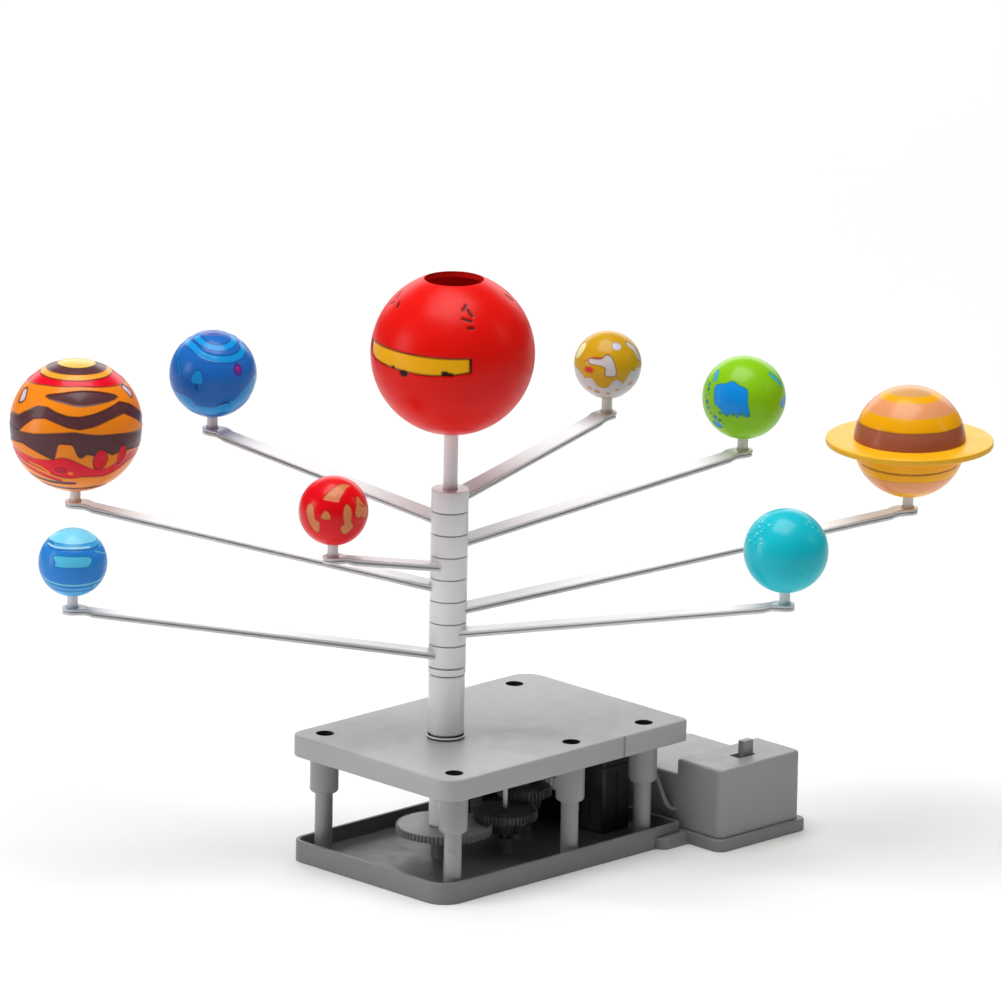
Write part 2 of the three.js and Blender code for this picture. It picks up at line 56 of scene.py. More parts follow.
def camera():
    a, e, r = (math.radians(v) for v in (AZIMUTH, ELEVATION, ROLL))
    back = Vector((math.sin(a) * math.cos(e), -math.cos(a) * math.cos(e), math.sin(e)))
    level = Vector((math.cos(a), math.sin(a), 0))
    rise = back.cross(level)
    right = math.cos(r) * level + math.sin(r) * rise
    up = back.cross(right)
    target = AIM_RIGHT * right + AIM_UP * up
    data = bpy.data.cameras.new("camera")
    data.sensor_width = SENSOR
    data.lens = SENSOR * DISTANCE / VIEW_WIDTH
    data.clip_end = 50
    cam = bpy.data.objects.new("camera", data)
    cam.matrix_world = Matrix((right, up, back)).transposed().to_4x4()
    cam.location = target + DISTANCE * back
    bpy.context.scene.collection.objects.link(cam)
    bpy.context.scene.camera = cam
    return back, right


BACK, RIGHT = camera()
FACING = math.degrees(math.atan2(BACK.y, BACK.x))   # longitude that faces the camera


# ---------- materials ----------
def node_material(name, roughness, metallic=0.0, coat=0.0, specular=0.5):
    mat = bpy.data.materials.new(name)
    mat.use_nodes = True
    shader = mat.node_tree.nodes["Principled BSDF"]
    shader.inputs["Roughness"].default_value = roughness
    shader.inputs["Metallic"].default_value = metallic
    shader.inputs["Coat Weight"].default_value = coat
    shader.inputs["Coat Roughness"].default_value = 0.12
    shader.inputs["Specular IOR Level"].default_value = specular
    return mat, shader


def rgb(r, g, b):
    """Linear colour from a 0-255 display colour."""
    def linear(c):
        c /= 255
        return c / 12.92 if c <= 0.04045 else ((c + 0.055) / 1.055) ** 2.4
    return np.array([linear(r), linear(g), linear(b)])


def noise(tree, scale, detail=3.0):
    place = tree.nodes.new("ShaderNodeTexCoord")
    tex = tree.nodes.new("ShaderNodeTexNoise")
    tex.inputs["Scale"].default_value = scale
    tex.inputs["Detail"].default_value = detail
    tree.links.new(place.outputs["Object"], tex.inputs["Vector"])
    return tex.outputs["Fac"]


def spread(tree, value, low, high, into):
    """Maps the middle of a noise, where nearly all of it lies, to a range."""
    ramp = tree.nodes.new("ShaderNodeMapRange")
    ramp.inputs["From Min"].default_value = 0.3
    ramp.inputs["From Max"].default_value = 0.7
    ramp.inputs["To Min"].default_value = low
    ramp.inputs["To Max"].default_value = high
    tree.links.new(value, ramp.inputs["Value"])
    tree.links.new(ramp.outputs["Result"], into)


def grain(tree, shader, scale, strength, depth):
    bump = tree.nodes.new("ShaderNodeBump")
    bump.inputs["Strength"].default_value = strength
    bump.inputs["Distance"].default_value = depth
    tree.links.new(noise(tree, scale), bump.inputs["Height"])
    tree.links.new(bump.outputs["Normal"], shader.inputs["Normal"])


def tint(tree, shader, color, swing, scale):
    mix = tree.nodes.new("ShaderNodeMix")
    mix.data_type = "RGBA"
    mix.inputs["A"].default_value = (*[c * (1 - swing) for c in color], 1)
    mix.inputs["B"].default_value = (*[min(1, c * (1 + swing)) for c in color], 1)
    tree.links.new(noise(tree, scale, 4.0), mix.inputs["Factor"])
    tree.links.new(mix.outputs["Result"], shader.inputs["Base Color"])


def moulded(name, color, roughness, grain_depth=0.00003, swing=0.04, coat=0.0, metallic=0.0):
    """Moulded or drawn surface: slow colour drift, patchy gloss and a fine texture."""
    mat, shader = node_material(name, roughness, metallic, coat)
    tree = mat.node_tree
    tint(tree, shader, color, swing, 45)
    spread(tree, noise(tree, 160), roughness * 0.88, roughness * 1.14, shader.inputs["Roughness"])
    grain(tree, shader, 2600, 0.35, grain_depth)
    return mat


def painted(name, roughness=0.3, coat=0.15):
    """Printed ball: the colour comes from the mesh's paint layer."""
    mat, shader = node_material(name, roughness, coat=coat, specular=0.15)
    tree = mat.node_tree
    paint = tree.nodes.new("ShaderNodeAttribute")
    paint.attribute_name = "paint"
    mix = tree.nodes.new("ShaderNodeMix")
    mix.data_type = "RGBA"
    mix.blend_type = "MULTIPLY"
    mix.inputs["Factor"].default_value = 1.0
    shade = tree.nodes.new("ShaderNodeMix")
    shade.data_type = "RGBA"
    shade.inputs["A"].default_value = (0.93, 0.93, 0.93, 1)
    shade.inputs["B"].default_value = (1, 1, 1, 1)
    tree.links.new(noise(tree, 220, 5.0), shade.inputs["Factor"])
    tree.links.new(paint.outputs["Color"], mix.inputs["A"])
    tree.links.new(shade.outputs["Result"], mix.inputs["B"])
    tree.links.new(mix.outputs["Result"], shader.inputs["Base Color"])
    spread(tree, noise(tree, 130), roughness * 0.85, roughness * 1.2, shader.inputs["Roughness"])
    grain(tree, shader, 900, 0.12, 0.00004)
    return mat


GREY = moulded("grey_plastic", (0.4, 0.395, 0.4), 0.45, 0.00004)
# Darker copy of the grey plastic: painted shade for the tray and its floor bosses, which sit low and under
# the cover.
SHADE = moulded("tray_plastic_painted_shade", (0.2, 0.198, 0.2), 0.42, 0.00004)
# Darker copy of the grey plastic: painted shade for the battery plate, low beside the cover.
SHADE_BOX = moulded("plate_plastic_painted_shade", (0.24, 0.237, 0.24), 0.42, 0.00004)
# Darker copy of the grey plastic: painted shade for the posts standing under the cover.
POST_SHADED_GREY = moulded("post_plastic_painted_shade", (0.33, 0.326, 0.33), 0.3, 0.00003)
BOX_GREY = moulded("box_plastic", (0.34, 0.336, 0.34), 0.42, 0.00004)
# Black plastic of the casings, motor mount and switch body; the same dark also stands as painted shade
# inside the screw wells.
DARK = moulded("dark_plastic_and_well_shade", (0.035, 0.034, 0.036), 0.45)
GEAR = moulded("gear_plastic", (0.42, 0.415, 0.42), 0.35)
GEAR_DARK = moulded("dark_gear_plastic", (0.1, 0.098, 0.1), 0.3)
SWITCH = moulded("switch_plastic", (0.3, 0.3, 0.305), 0.35)
BLACK_STEEL = moulded("blackened_steel", (0.05, 0.05, 0.055), 0.4, 0.00003, 0.06, metallic=1.0)
RUBBER = moulded("seal_ring", (0.012, 0.012, 0.013), 0.5)
WHITE = moulded("white_plastic", (0.84, 0.84, 0.85), 0.33, 0.00002, 0.012, coat=0.2)
# Darker copy of the white plastic: painted shade on the arms' bars and pins, which are one moulding with
# the hubs.
ARM_SHADED_WHITE = moulded("arm_plastic_painted_shade", (0.7, 0.7, 0.712), 0.33, 0.00002, 0.012, coat=0.2)
STEEL = moulded("zinc_steel", (0.5, 0.5, 0.52), 0.33, 0.00003, 0.06, metallic=1.0)
CELL = moulded("cell_wrap", (0.03, 0.16, 0.08), 0.3)
LEAD = moulded("lead_jacket", (0.3, 0.3, 0.31), 0.45)
RING = moulded("ring_plastic", tuple(rgb(246, 182, 0)), 0.42, 0.00003, 0.03)
FLOOR = moulded("studio_floor", (0.95, 0.95, 0.95), 0.8, 0.00002, 0.01)


# ---------- mesh helpers ----------
def mesh_object(name, verts, faces, material, sharp=35):
    mesh = bpy.data.meshes.new(name)
    mesh.from_pydata([tuple(v) for v in verts], [], faces)
    return wrap(name, mesh, material, sharp)


def wrap(name, mesh, material, sharp=35):
    mesh.materials.clear()
    mesh.materials.append(material)
    mesh.validate()
    bm = bmesh.new()
    bm.from_mesh(mesh)
    bmesh.ops.recalc_face_normals(bm, faces=bm.faces)
    bm.to_mesh(mesh)
    bm.free()
    mesh.shade_smooth()
    mesh.set_sharp_from_angle(angle=math.radians(sharp))
    obj = bpy.data.objects.new(name, mesh)
    bpy.context.scene.collection.objects.link(obj)
    return obj


def bridge(count, pairs):
    """Quads between rings of count points, for pairs of ring numbers."""
    faces = []
    for a, b in pairs:
        for i in range(count):
            j = (i + 1) % count
            faces.append((a * count + i, a * count + j, b * count + j, b * count + i))
    return faces


def disc(count, ring):
    return tuple(range(ring * count, (ring + 1) * count))


def loft(name, loops, material, sharp=35):
    """Skin through equal loops of points, closed by a face at each end."""
    count, last = len(loops[0]), len(loops) - 1
    verts = [tuple(p) for loop in loops for p in loop]
    faces = [tuple(reversed(disc(count, 0)))]
    faces += bridge(count, [(k, k + 1) for k in range(last)])
    faces.append(disc(count, last))
    return mesh_object(name, verts, faces, material, sharp)


def circle(radius, z, segments, centre):
    t = np.linspace(0, 2 * math.pi, segments, endpoint=False)
    return np.stack([centre[0] + radius * np.cos(t), centre[1] + radius * np.sin(t), 0 * t + z], 1)


def lathe(name, profile, material, segments=64, centre=(0.0, 0.0), sharp=35):
    """Revolved outline. Where it closes on itself it makes a ring, otherwise its ends are capped."""
    if profile[0] != profile[-1]:
        loops = [circle(max(r, 1e-5), z, segments, centre) for r, z in profile]
        return loft(name, loops, material, sharp)
    rings = [circle(r, z, segments, centre) for r, z in profile[:-1]]
    verts = [tuple(p) for ring in rings for p in ring]
    faces = bridge(segments, [(k, (k + 1) % len(rings)) for k in range(len(rings))])
    return mesh_object(name, verts, faces, material, sharp)


def rounded(points, radius, steps=4):
    """Rounds the corners of an outline; the first and last points stay where they are."""
    out = [points[0]]
    for k in range(1, len(points) - 1):
        p, q, s = (np.array(points[k + d]) for d in (-1, 0, 1))
        back, ahead = p - q, s - q
        reach = min(radius, np.linalg.norm(back) * 0.48, np.linalg.norm(ahead) * 0.48)
        a = q + back / np.linalg.norm(back) * reach
        b = q + ahead / np.linalg.norm(ahead) * reach
        for t in np.linspace(0, 1, steps + 1):
            out.append(tuple((1 - t) ** 2 * a + 2 * t * (1 - t) * q + t * t * b))
    out.append(points[-1])
    return out


def rounded_rect(x0, x1, y0, y1, radii, z, inset=0.0, steps=10):
    """Loop with one corner radius each, anticlockwise from (x0, y0), pulled in by inset."""
    corners = [(x0, y0, 180), (x1, y0, 270), (x1, y1, 0), (x0, y1, 90)]
    signs = [(1, 1), (-1, 1), (-1, -1), (1, -1)]
    loop = []
    for (x, y, start), (sx, sy), r in zip(corners, signs, radii):
        cx, cy = x + sx * r, y + sy * r
        size = max(r - inset, 1e-5)
        slip = max(inset - r, 0)
        for t in np.linspace(0, 90, steps + 1):
            a = math.radians(start + t)
            loop.append((cx + sx * slip + size * math.cos(a), cy + sy * slip + size * math.sin(a), z))
    return np.array(loop)


def boolean(target, tools, operation):
    for tool in tools:
        mod = target.modifiers.new("boolean", "BOOLEAN")
        mod.operation = operation
        mod.solver = "EXACT"
        mod.object = tool
    graph = bpy.context.evaluated_depsgraph_get()
    mesh = bpy.data.meshes.new_from_object(target.evaluated_get(graph))
    material = target.data.materials[0]
    target.modifiers.clear()
    name = target.name
    bpy.data.objects.remove(target)
    for tool in tools:
        bpy.data.objects.remove(tool)
    return wrap(name, mesh, material, 30)


def cut(target, *tools):
    return boolean(target, tools, "DIFFERENCE")


def join(target, *tools):
    return boolean(target, tools, "UNION")


def box_tool(x0, x1, y0, y1, z0, z1):
    loops = [rounded_rect(x0, x1, y0, y1, [1e-5] * 4, z, steps=1) for z in (z0, z1)]
    return loft("tool", loops, GREY)


def rod_tool(radius, z0, z1, centre, segments=40):
    return loft("tool", [circle(radius, z, segments, centre) for z in (z0, z1)], GREY)


def place(obj, node, body, slot):
    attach(obj, body)
    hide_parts(node)
    return obj


def limits(node):
    low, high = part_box(node)
    return tuple(low), tuple(high)


def middle(node):
    """Centre of a node, seen from above."""
    low, high = limits(node)
    return (low[0] + high[0]) / 2, (low[1] + high[1]) / 2


def polish(node, material, width):
    """Gives a kept CAD node its material and softened edges."""
    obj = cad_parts[node]
    obj.data.materials.clear()
    obj.data.materials.append(material)
    weld = obj.modifiers.new("weld", "WELD")
    weld.merge_threshold = 1e-6
    bevel = obj.modifiers.new("bevel", "BEVEL")
    bevel.width = width
    bevel.segments = 2
    bevel.limit_method = "ANGLE"
    bevel.angle_limit = math.radians(40)


# ---------- base ----------
SIDE_NAMES = ("near", "far")
ALONG_NAMES = ("left", "middle", "right")
POSTS = [f"{side}_{along}" for side in SIDE_NAMES for along in ALONG_NAMES]
POST_SPOTS = {spot: middle("post_" + spot) for spot in POSTS}

TRAY_RADII = [r * MM for r in (9, 2, 2, 6)]
COVER_RADII = [r * MM for r in (9, 3, 9, 6)]
TRAY_WALL, TRAY_FLOOR, TRAY_RIM, FLOOR_BOSS = 1.6 * MM, 2.5 * MM, 8.4 * MM, 8 * MM
COVER_WALL, COVER_ROOF = 2 * MM, 2.5 * MM
WELL_RADIUS, WELL_SEAT = 3.5 * MM, 40 * MM
COVER_HOLE = 6.2 * MM
SPINDLE_RADIUS, SPINDLE_BORE, AXLE_BORE = 2.75 * MM, 3.05 * MM, 1.3 * MM
LUG_SPOT, LUG_RADIUS, LUG_TOP = (76 * MM, -42.4 * MM), 3.9 * MM, 4.3 * MM
SCREW_HEAD, SCREW_SHANK, BASE_SCREW_SEAT = 2.9 * MM, 1.3 * MM, 2.6 * MM


def ring_sweep(name, low, high, radii, profile, material):
    """Profile of (inset, height) pairs swept round a rounded rectangle."""
    loops = [rounded_rect(low[0], high[0], low[1], high[1], radii, z, inset) for inset, z in profile]
    return loft(name, loops, material, 30)


def make_tray():
    low, high = limits("base_tray")
    wall, floor = TRAY_WALL, TRAY_FLOOR
    profile = rounded([
        (2 * MM, 0), (0, 0), (0, TRAY_RIM), (wall, TRAY_RIM), (wall, floor), (wall + 3 * MM, floor),
    ], 0.5 * MM)
    # The tray shell takes the darker grey, painted shade on its walls and floor.
    tray = ring_sweep("tray_shell", low, high, TRAY_RADII, profile, SHADE)
    reach, pocket_top = LUG_RADIUS + 0.3 * MM, LUG_TOP + 0.5 * MM
    lug_x, lug_y = LUG_SPOT
    tray = cut(
        tray,
        rod_tool(reach, -1 * MM, pocket_top, (lug_x, lug_y)),
        box_tool(lug_x, high[0] + MM, lug_y - reach, lug_y + reach, -1 * MM, pocket_top),
    )
    foot = 0.6 * MM
    for node, bore in (("axle_b", AXLE_BORE), ("axle_c", AXLE_BORE), ("spindle", SPINDLE_BORE)):
        outer = bore + 1.8 * MM
        ring = rounded([
            (bore, floor), (outer + foot, floor), (outer, floor + foot),
            (outer, FLOOR_BOSS), (bore, FLOOR_BOSS), (bore, floor),
        ], 0.3 * MM)
        boss = lathe("floor_boss", ring, SHADE, 40, middle(node))
        place(boss, "base_tray", "base", "base_plastic")
    place(tray, "base_tray", "base", "base_plastic")


def make_cover():
    low, high = limits("top_cover")
    top, bottom = high[2], low[2]
    wall, roof = COVER_WALL, COVER_ROOF
    profile = rounded([
        (4 * MM, top), (0, top), (0, bottom), (wall, bottom), (wall, top - roof),
        (wall + 3 * MM, top - roof),
    ], 0.8 * MM, 5)
    cover = ring_sweep("cover_shell", low, high, COVER_RADII, profile, GREY)
    tools = [rod_tool(WELL_RADIUS, top - 2 * roof, top + MM, spot) for spot in POST_SPOTS.values()]
    tools.append(rod_tool(COVER_HOLE, top - 2 * roof, top + MM, (0, 0), 64))
    slot_x, slot_width, slot_depth = 50.6 * MM, 1.5 * MM, 0.6 * MM
    tools.append(box_tool(
        slot_x, slot_x + slot_width, low[1] - MM, low[1] + slot_depth, bottom - MM, top + MM))
    cover = cut(cover, *tools)
    paint_well_shade(cover, POST_SPOTS.values(), top - 1.2 * roof)
    place(cover, "top_cover", "base", "base_plastic")


def paint_well_shade(obj, spots, floor):
    """Gives the walls inside screw wells, and their seats, the dark material as painted shade in the
    recess.
    """
    reach, rim = WELL_RADIUS * 1.03, floor + 8 * MM
    obj.data.materials.append(DARK)
    for face in obj.data.polygons:
        level = abs(face.normal.z) > 0.5
        for x, y in spots:
            near = math.hypot(face.center.x - x, face.center.y - y) < reach
            if near and face.center.z > floor and not (level and face.center.z > rim):
                face.material_index = 1


def make_posts():
    for spot, centre in POST_SPOTS.items():
        low, high = limits("post_" + spot)
        bottom, top = low[2], high[2]
        stud, sleeve, step, chamfer = 3.4 * MM, 5.5 * MM, 26.6 * MM, 0.7 * MM
        foot, foot_height = stud + 0.4 * MM, 1.6 * MM
        profile = rounded([
            (0, bottom), (foot, bottom), (stud, bottom + foot_height), (stud, step),
            (sleeve - chamfer, step), (sleeve, step + 0.8 * MM), (sleeve, top), (WELL_RADIUS, top),
            (WELL_RADIUS, WELL_SEAT), (0, WELL_SEAT),
        ], 0.35 * MM)
        # The posts take the darker grey as painted shade.
        post = lathe("spacer_" + spot, profile, POST_SHADED_GREY, 48, centre, 30)
        paint_well_shade(post, [centre], WELL_SEAT - 0.2 * MM)
        place(post, "post_" + spot, "base", "base_plastic")
        make_screw("screw_" + spot, (*centre, WELL_SEAT + 0.3 * MM))


def make_screw(node, seat, upwards=True):
    """Pan head with a cross recess on a plain shank."""
    head, tall, shank, length = SCREW_HEAD, 2 * MM, SCREW_SHANK, 11 * MM
    profile = rounded([
        (0, -length), (shank * 0.3, -length), (shank, -length + 2 * MM), (shank, 0), (head, 0),
        (head, tall * 0.6), (head * 0.62, tall), (0, tall),
    ], 0.4 * MM)
    screw = lathe("fixing_" + node, profile, BLACK_STEEL, 32, (0, 0), 30)
    half, thin, deep = 1.7 * MM, 0.35 * MM, 1.1 * MM
    screw = cut(
        screw,
        box_tool(-half, half, -thin, thin, tall - deep, tall + MM),
        box_tool(-thin, thin, -half, half, tall - deep, tall + MM),
    )
    turn = Matrix.Identity(4) if upwards else Matrix.Rotation(math.pi, 4, "X")
    screw.data.transform(Matrix.Translation(seat) @ turn)
    place(screw, node, "base", "steel")


make_tray()
make_cover()
make_posts()
make_screw("battery_screw", (*middle("battery_screw"), BASE_SCREW_SEAT - 0.3 * MM), upwards=False)


# ---------- column ----------
def column_ring(node, name, inner, outer, bottom, top, body, radius=0.4 * MM):
    profile = [(inner, bottom), (outer, bottom), (outer, top), (inner, top)]
    turned_ring(node, name, profile, body, radius)


def turned_ring(node, name, profile, body, radius=0.4 * MM):
    points = rounded(profile + [profile[0]], radius)
    points[-1] = points[0]
    place(lathe(name, points, WHITE, 72, sharp=32), node, body, "white_plastic")


def make_column():
    seam, collar = 0.25 * MM, 7.15 * MM
    low, high = limits("bearing_ring")
    column_ring("bearing_ring", "foot_ring", 6.2 * MM, 7.4 * MM, low[2] + 0.35 * MM, high[2] - seam,
                "base", 0.2 * MM)
    inner = 6.3 * MM
    seal = [(inner, low[2]), (collar, low[2]), (collar, high[2]), (inner, high[2]), (inner, low[2])]
    place(lathe("foot_seal", seal, RUBBER, 72), "bearing_ring", "base", "white_plastic")
    low, high = limits("drive_sleeve")
    waist, sleeve, shoulder = 5.9 * MM, 6.9 * MM, 51.6 * MM
    turned_ring("drive_sleeve", "lower_tube", [
        (SPINDLE_BORE, low[2]), (waist, low[2]), (waist, shoulder), (sleeve, shoulder),
        (sleeve, high[2]), (SPINDLE_BORE, high[2])], "spindle")
    low, high = limits("column_collar")
    column_ring("column_collar", "thrust_ring", SPINDLE_BORE, collar, low[2] + seam, high[2] - seam,
                "spindle", 0.25 * MM)
    low, high = limits("spindle")
    stem = [(0, low[2]), (SPINDLE_RADIUS, low[2]), (SPINDLE_RADIUS, high[2]), (0, high[2])]
    place(lathe("centre_stem", rounded(stem, 0.4 * MM), WHITE, 48), "spindle", "spindle", "white_plastic")


make_column()


# ---------- gears, motor and battery gear ----------
def make_casing(node, name):
    """A dark moulded casing: a parting seam below its lid and upright flutes in its two open faces."""
    low, high = limits(node)
    seam, lip, flute, pitch = high[2] - 5 * MM, 0.45 * MM, 2.2 * MM, 5.5 * MM
    profile = rounded([
        (2 * MM, low[2]), (0, low[2]), (0, seam), (lip, seam), (lip, seam + lip), (0, seam + lip),
        (0, high[2]), (2 * MM, high[2]),
    ], 0.4 * MM, 3)
    casing = ring_sweep(name, low, high, [1.5 * MM] * 4, profile, DARK)
    foot, head = low[2] + 4 * MM, seam - 2.5 * MM
    tools = [box_tool(x, x + flute, low[1] - MM, low[1] + lip, foot, head)
             for x in np.arange(low[0] + pitch, high[0] - pitch, pitch)]
    tools += [box_tool(low[0] - MM, low[0] + lip, y, y + flute, foot, head)
              for y in np.arange(low[1] + pitch, high[1] - pitch, pitch)]
    place(cut(casing, *tools), node, "base", "gear_dark")


make_casing("rear_housing", "rear_casing")
make_casing("side_housing", "side_casing")
POLISHED = (
    (GEAR, 0.15, ("main_gear",)),
    (GEAR_DARK, 0.15, ("gear_b", "gear_c")),
    (WHITE, 0.1, ("motor_pinion",)),
    (STEEL, 0.1, ("axle_b", "axle_c", "contact_bridge", "contact_a", "contact_b", "motor")),
    (DARK, 0.3, ("motor_mount",)),
    (CELL, 0.4, ("cell_a", "cell_b")),
    (DARK, 0.4, ("switch_body",)),
)
for finish, edge_width, kept_nodes in POLISHED:
    for kept in kept_nodes:
        polish(kept, finish, edge_width * MM)


def tube(name, points, radius, material):
    """Round tube through a list of points, on a smooth curve."""
    curve = bpy.data.curves.new(name, "CURVE")
    curve.dimensions = "3D"
    curve.bevel_depth = radius
    curve.bevel_resolution = 4
    curve.use_fill_caps = True
    spline = curve.splines.new("NURBS")
    spline.points.add(len(points) - 1)
    for target, point in zip(spline.points, points):
        target.co = (*point, 1)
    spline.use_endpoint_u = True
    spline.order_u = 4
    curve.resolution_u = 12
    holder = bpy.data.objects.new(name, curve)
    bpy.context.scene.collection.objects.link(holder)
    graph = bpy.context.evaluated_depsgraph_get()
    mesh = bpy.data.meshes.new_from_object(holder.evaluated_get(graph))
    bpy.data.objects.remove(holder)
    return wrap(name, mesh, material, 50)


LEAD_RADIUS, LEAD_SPREAD = 0.8 * MM, 1.1
LEAD_ROUTE = [(67.6, -3, 41), (72.2, -9, 41), (79.5, -24, 37), (82, -32, 27), (83.2, -35.4, 17),
              (85.5, -36, 11.8), (91, -36, 11.5)]


def make_leads():
    for node, side in (("lead_a", -1), ("lead_b", 1)):
        shift = side * LEAD_SPREAD
        route = [((x + shift) * MM, (y + shift) * MM, z * MM) for x, y, z in LEAD_ROUTE]
        place(tube("wire_" + node, route, LEAD_RADIUS, LEAD), node, "base", "lead_grey")


make_leads()


# ---------- battery box ----------
SWITCH_SLOT = [v * MM for v in (105.8, 115, -53.6, -48)]


def make_battery_box():
    low, high = limits("battery_housing")
    step_y, low_top, corner = -37.8 * MM, 25.8 * MM, 3 * MM

    def block(name, y0, y1, top, corners):
        profile = rounded([(0.01 * MM, low[2]), (0, low[2]), (0, top), (4 * MM, top)], 1.3 * MM, 6)
        loops = [rounded_rect(low[0], high[0], y0, y1, corners, z, inset) for inset, z in profile]
        return loft(name, loops, BOX_GREY, 30)

    small = 0.8 * MM
    body = block("battery_case", low[1], step_y, high[2], [corner, corner, small, small])
    rear = block("tool", step_y - 2 * MM, high[1], low_top, [small, small, corner, corner])
    body = join(body, rear)
    slot = box_tool(*SWITCH_SLOT, high[2] - 3 * MM, high[2] + MM)
    place(cut(body, slot), "battery_housing", "base", "base_plastic")


def make_battery_base():
    low, high = limits("battery_base")
    x0, y0, top = 86.3 * MM, low[1], high[2]
    profile = rounded([(1 * MM, 0), (0, 0), (0, top), (6 * MM, top)], 0.9 * MM)
    loops = [rounded_rect(x0, high[0], y0, high[1], [4 * MM] * 4, z, inset) for inset, z in profile]
    # The plate takes the darker grey as painted shade.
    flange = loft("battery_plate", loops, SHADE_BOX, 30)
    lug_x, lug_y = LUG_SPOT
    lug_profile = rounded([(0, 0), (LUG_RADIUS, 0), (LUG_RADIUS, LUG_TOP), (0, LUG_TOP)], 0.6 * MM)
    tongue = lathe("tool", lug_profile, GREY, 48, LUG_SPOT)
    web = box_tool(lug_x, x0 + 2 * MM, lug_y - LUG_RADIUS, lug_y + LUG_RADIUS, 0, LUG_TOP)
    flange = join(flange, tongue, web)
    screw, play = middle("battery_screw"), 0.3 * MM
    flange = cut(
        flange,
        rod_tool(SCREW_HEAD + play, -MM, BASE_SCREW_SEAT, screw),
        rod_tool(SCREW_SHANK + play, -MM, top + MM, screw),
    )
    place(flange, "battery_base", "base", "base_plastic")


make_battery_box()
make_battery_base()


def make_knob():
    low, high = limits("switch_knob")
    y_mid, half_y = (low[1] + high[1]) / 2, 1.65 * MM
    x1 = SWITCH_SLOT[1] - 0.3 * MM
    x0 = x1 - 5.4 * MM
    root, top = 28 * MM, high[2]
    profile = rounded([(0.2 * MM, root), (0, root), (0, top), (1.4 * MM, top)], 0.5 * MM)
    loops = [
        rounded_rect(x0, x1, y_mid - half_y, y_mid + half_y, [0.5 * MM] * 4, z, inset)
        for inset, z in profile
    ]
    knob = loft("slide_knob", loops, SWITCH, 30)
    foot = box_tool(low[0], high[0], low[1], high[1], low[2], low[2] + 1.2 * MM)
    place(join(knob, foot), "switch_knob", "knob", "switch_grey")


make_knob()


# ---------- arms ----------
PLANETS = ["mercury", "venus", "earth", "mars", "jupiter", "saturn", "uranus", "neptune"]
SOCKET = 2.37 * MM
ARM_SLOPE, ARM_THICK, ARM_LIFT = 0.187, 2.6 * MM, 3.5 * MM
ROOT_WIDTH, PAD_WIDTH, PAD_LENGTH = 8.8 * MM, 7.8 * MM, 10 * MM
HUB_RADIUS, HUB_HEIGHT, PIN_RADIUS = 7.15 * MM, 8.42 * MM, 2.07 * MM


def ball_of(planet):
    low, high = limits("planet_" + planet)
    span = high[2] - low[2]
    radius = (span * span + SOCKET * SOCKET) / (2 * span)
    return radius, high[2] - radius


def arm_direction(planet):
    x, y = middle("planet_" + planet)
    return math.hypot(x, y), math.atan2(y, x)


def bar_section(x, z, width, top, bottom):
    """Cross-section of the bar: a full-width cap, a dark side groove and a narrower rib below."""
    w = width / 2
    r = min(0.3 * MM, w * 0.3)
    lip = min(0.3 * MM, w * 0.3)
    groove = min(1.2 * MM, w * 0.5)
    cap, rib = 0.36 * top, -0.22 * top
    half = [(w - r, top), (w, top - r), (w, cap), (w - groove, cap), (w - groove, rib), (w - lip, rib),
            (w - lip, bottom + r), (w - lip - r, bottom)]
    outline = [(-y, h) for y, h in half] + [(y, h) for y, h in reversed(half)]
    return [(x, y, z + h) for y, h in outline]


def bar_stations(base, reach):
    """Height of the bar's middle along its length: a straight climb, then a level end under the pin."""
    pad_z = base + ARM_LIFT + ARM_SLOPE * reach
    turn_x = reach - PAD_LENGTH * 0.55
    climb = [(x, base + ARM_LIFT + ARM_SLOPE * x) for x in np.linspace(4 * MM, turn_x - 1.5 * MM, 9)]
    bend = []
    for t in (0.25, 0.5, 0.75):
        x = turn_x + (t * 4 - 1.5) * MM
        slope_z = base + ARM_LIFT + ARM_SLOPE * x
        bend.append((x, slope_z + (pad_z - slope_z) * t))
    return climb + bend + [(reach, pad_z)], pad_z


def make_bar(base, reach):
    stations, pad_z = bar_stations(base, reach)
    top = ARM_THICK / 2
    loops = []
    for x, z in stations:
        width = ROOT_WIDTH + (PAD_WIDTH - ROOT_WIDTH) * x / reach
        loops.append(bar_section(x, z, width, top, -top))
    half = PAD_WIDTH / 2
    for degrees in np.linspace(8, 84, 12):
        a = math.radians(degrees)
        x = reach + half * math.sin(a)
        loops.append(bar_section(x, pad_z, PAD_WIDTH * math.cos(a), top, -top))
    return loft("tool", loops, WHITE, 40), pad_z


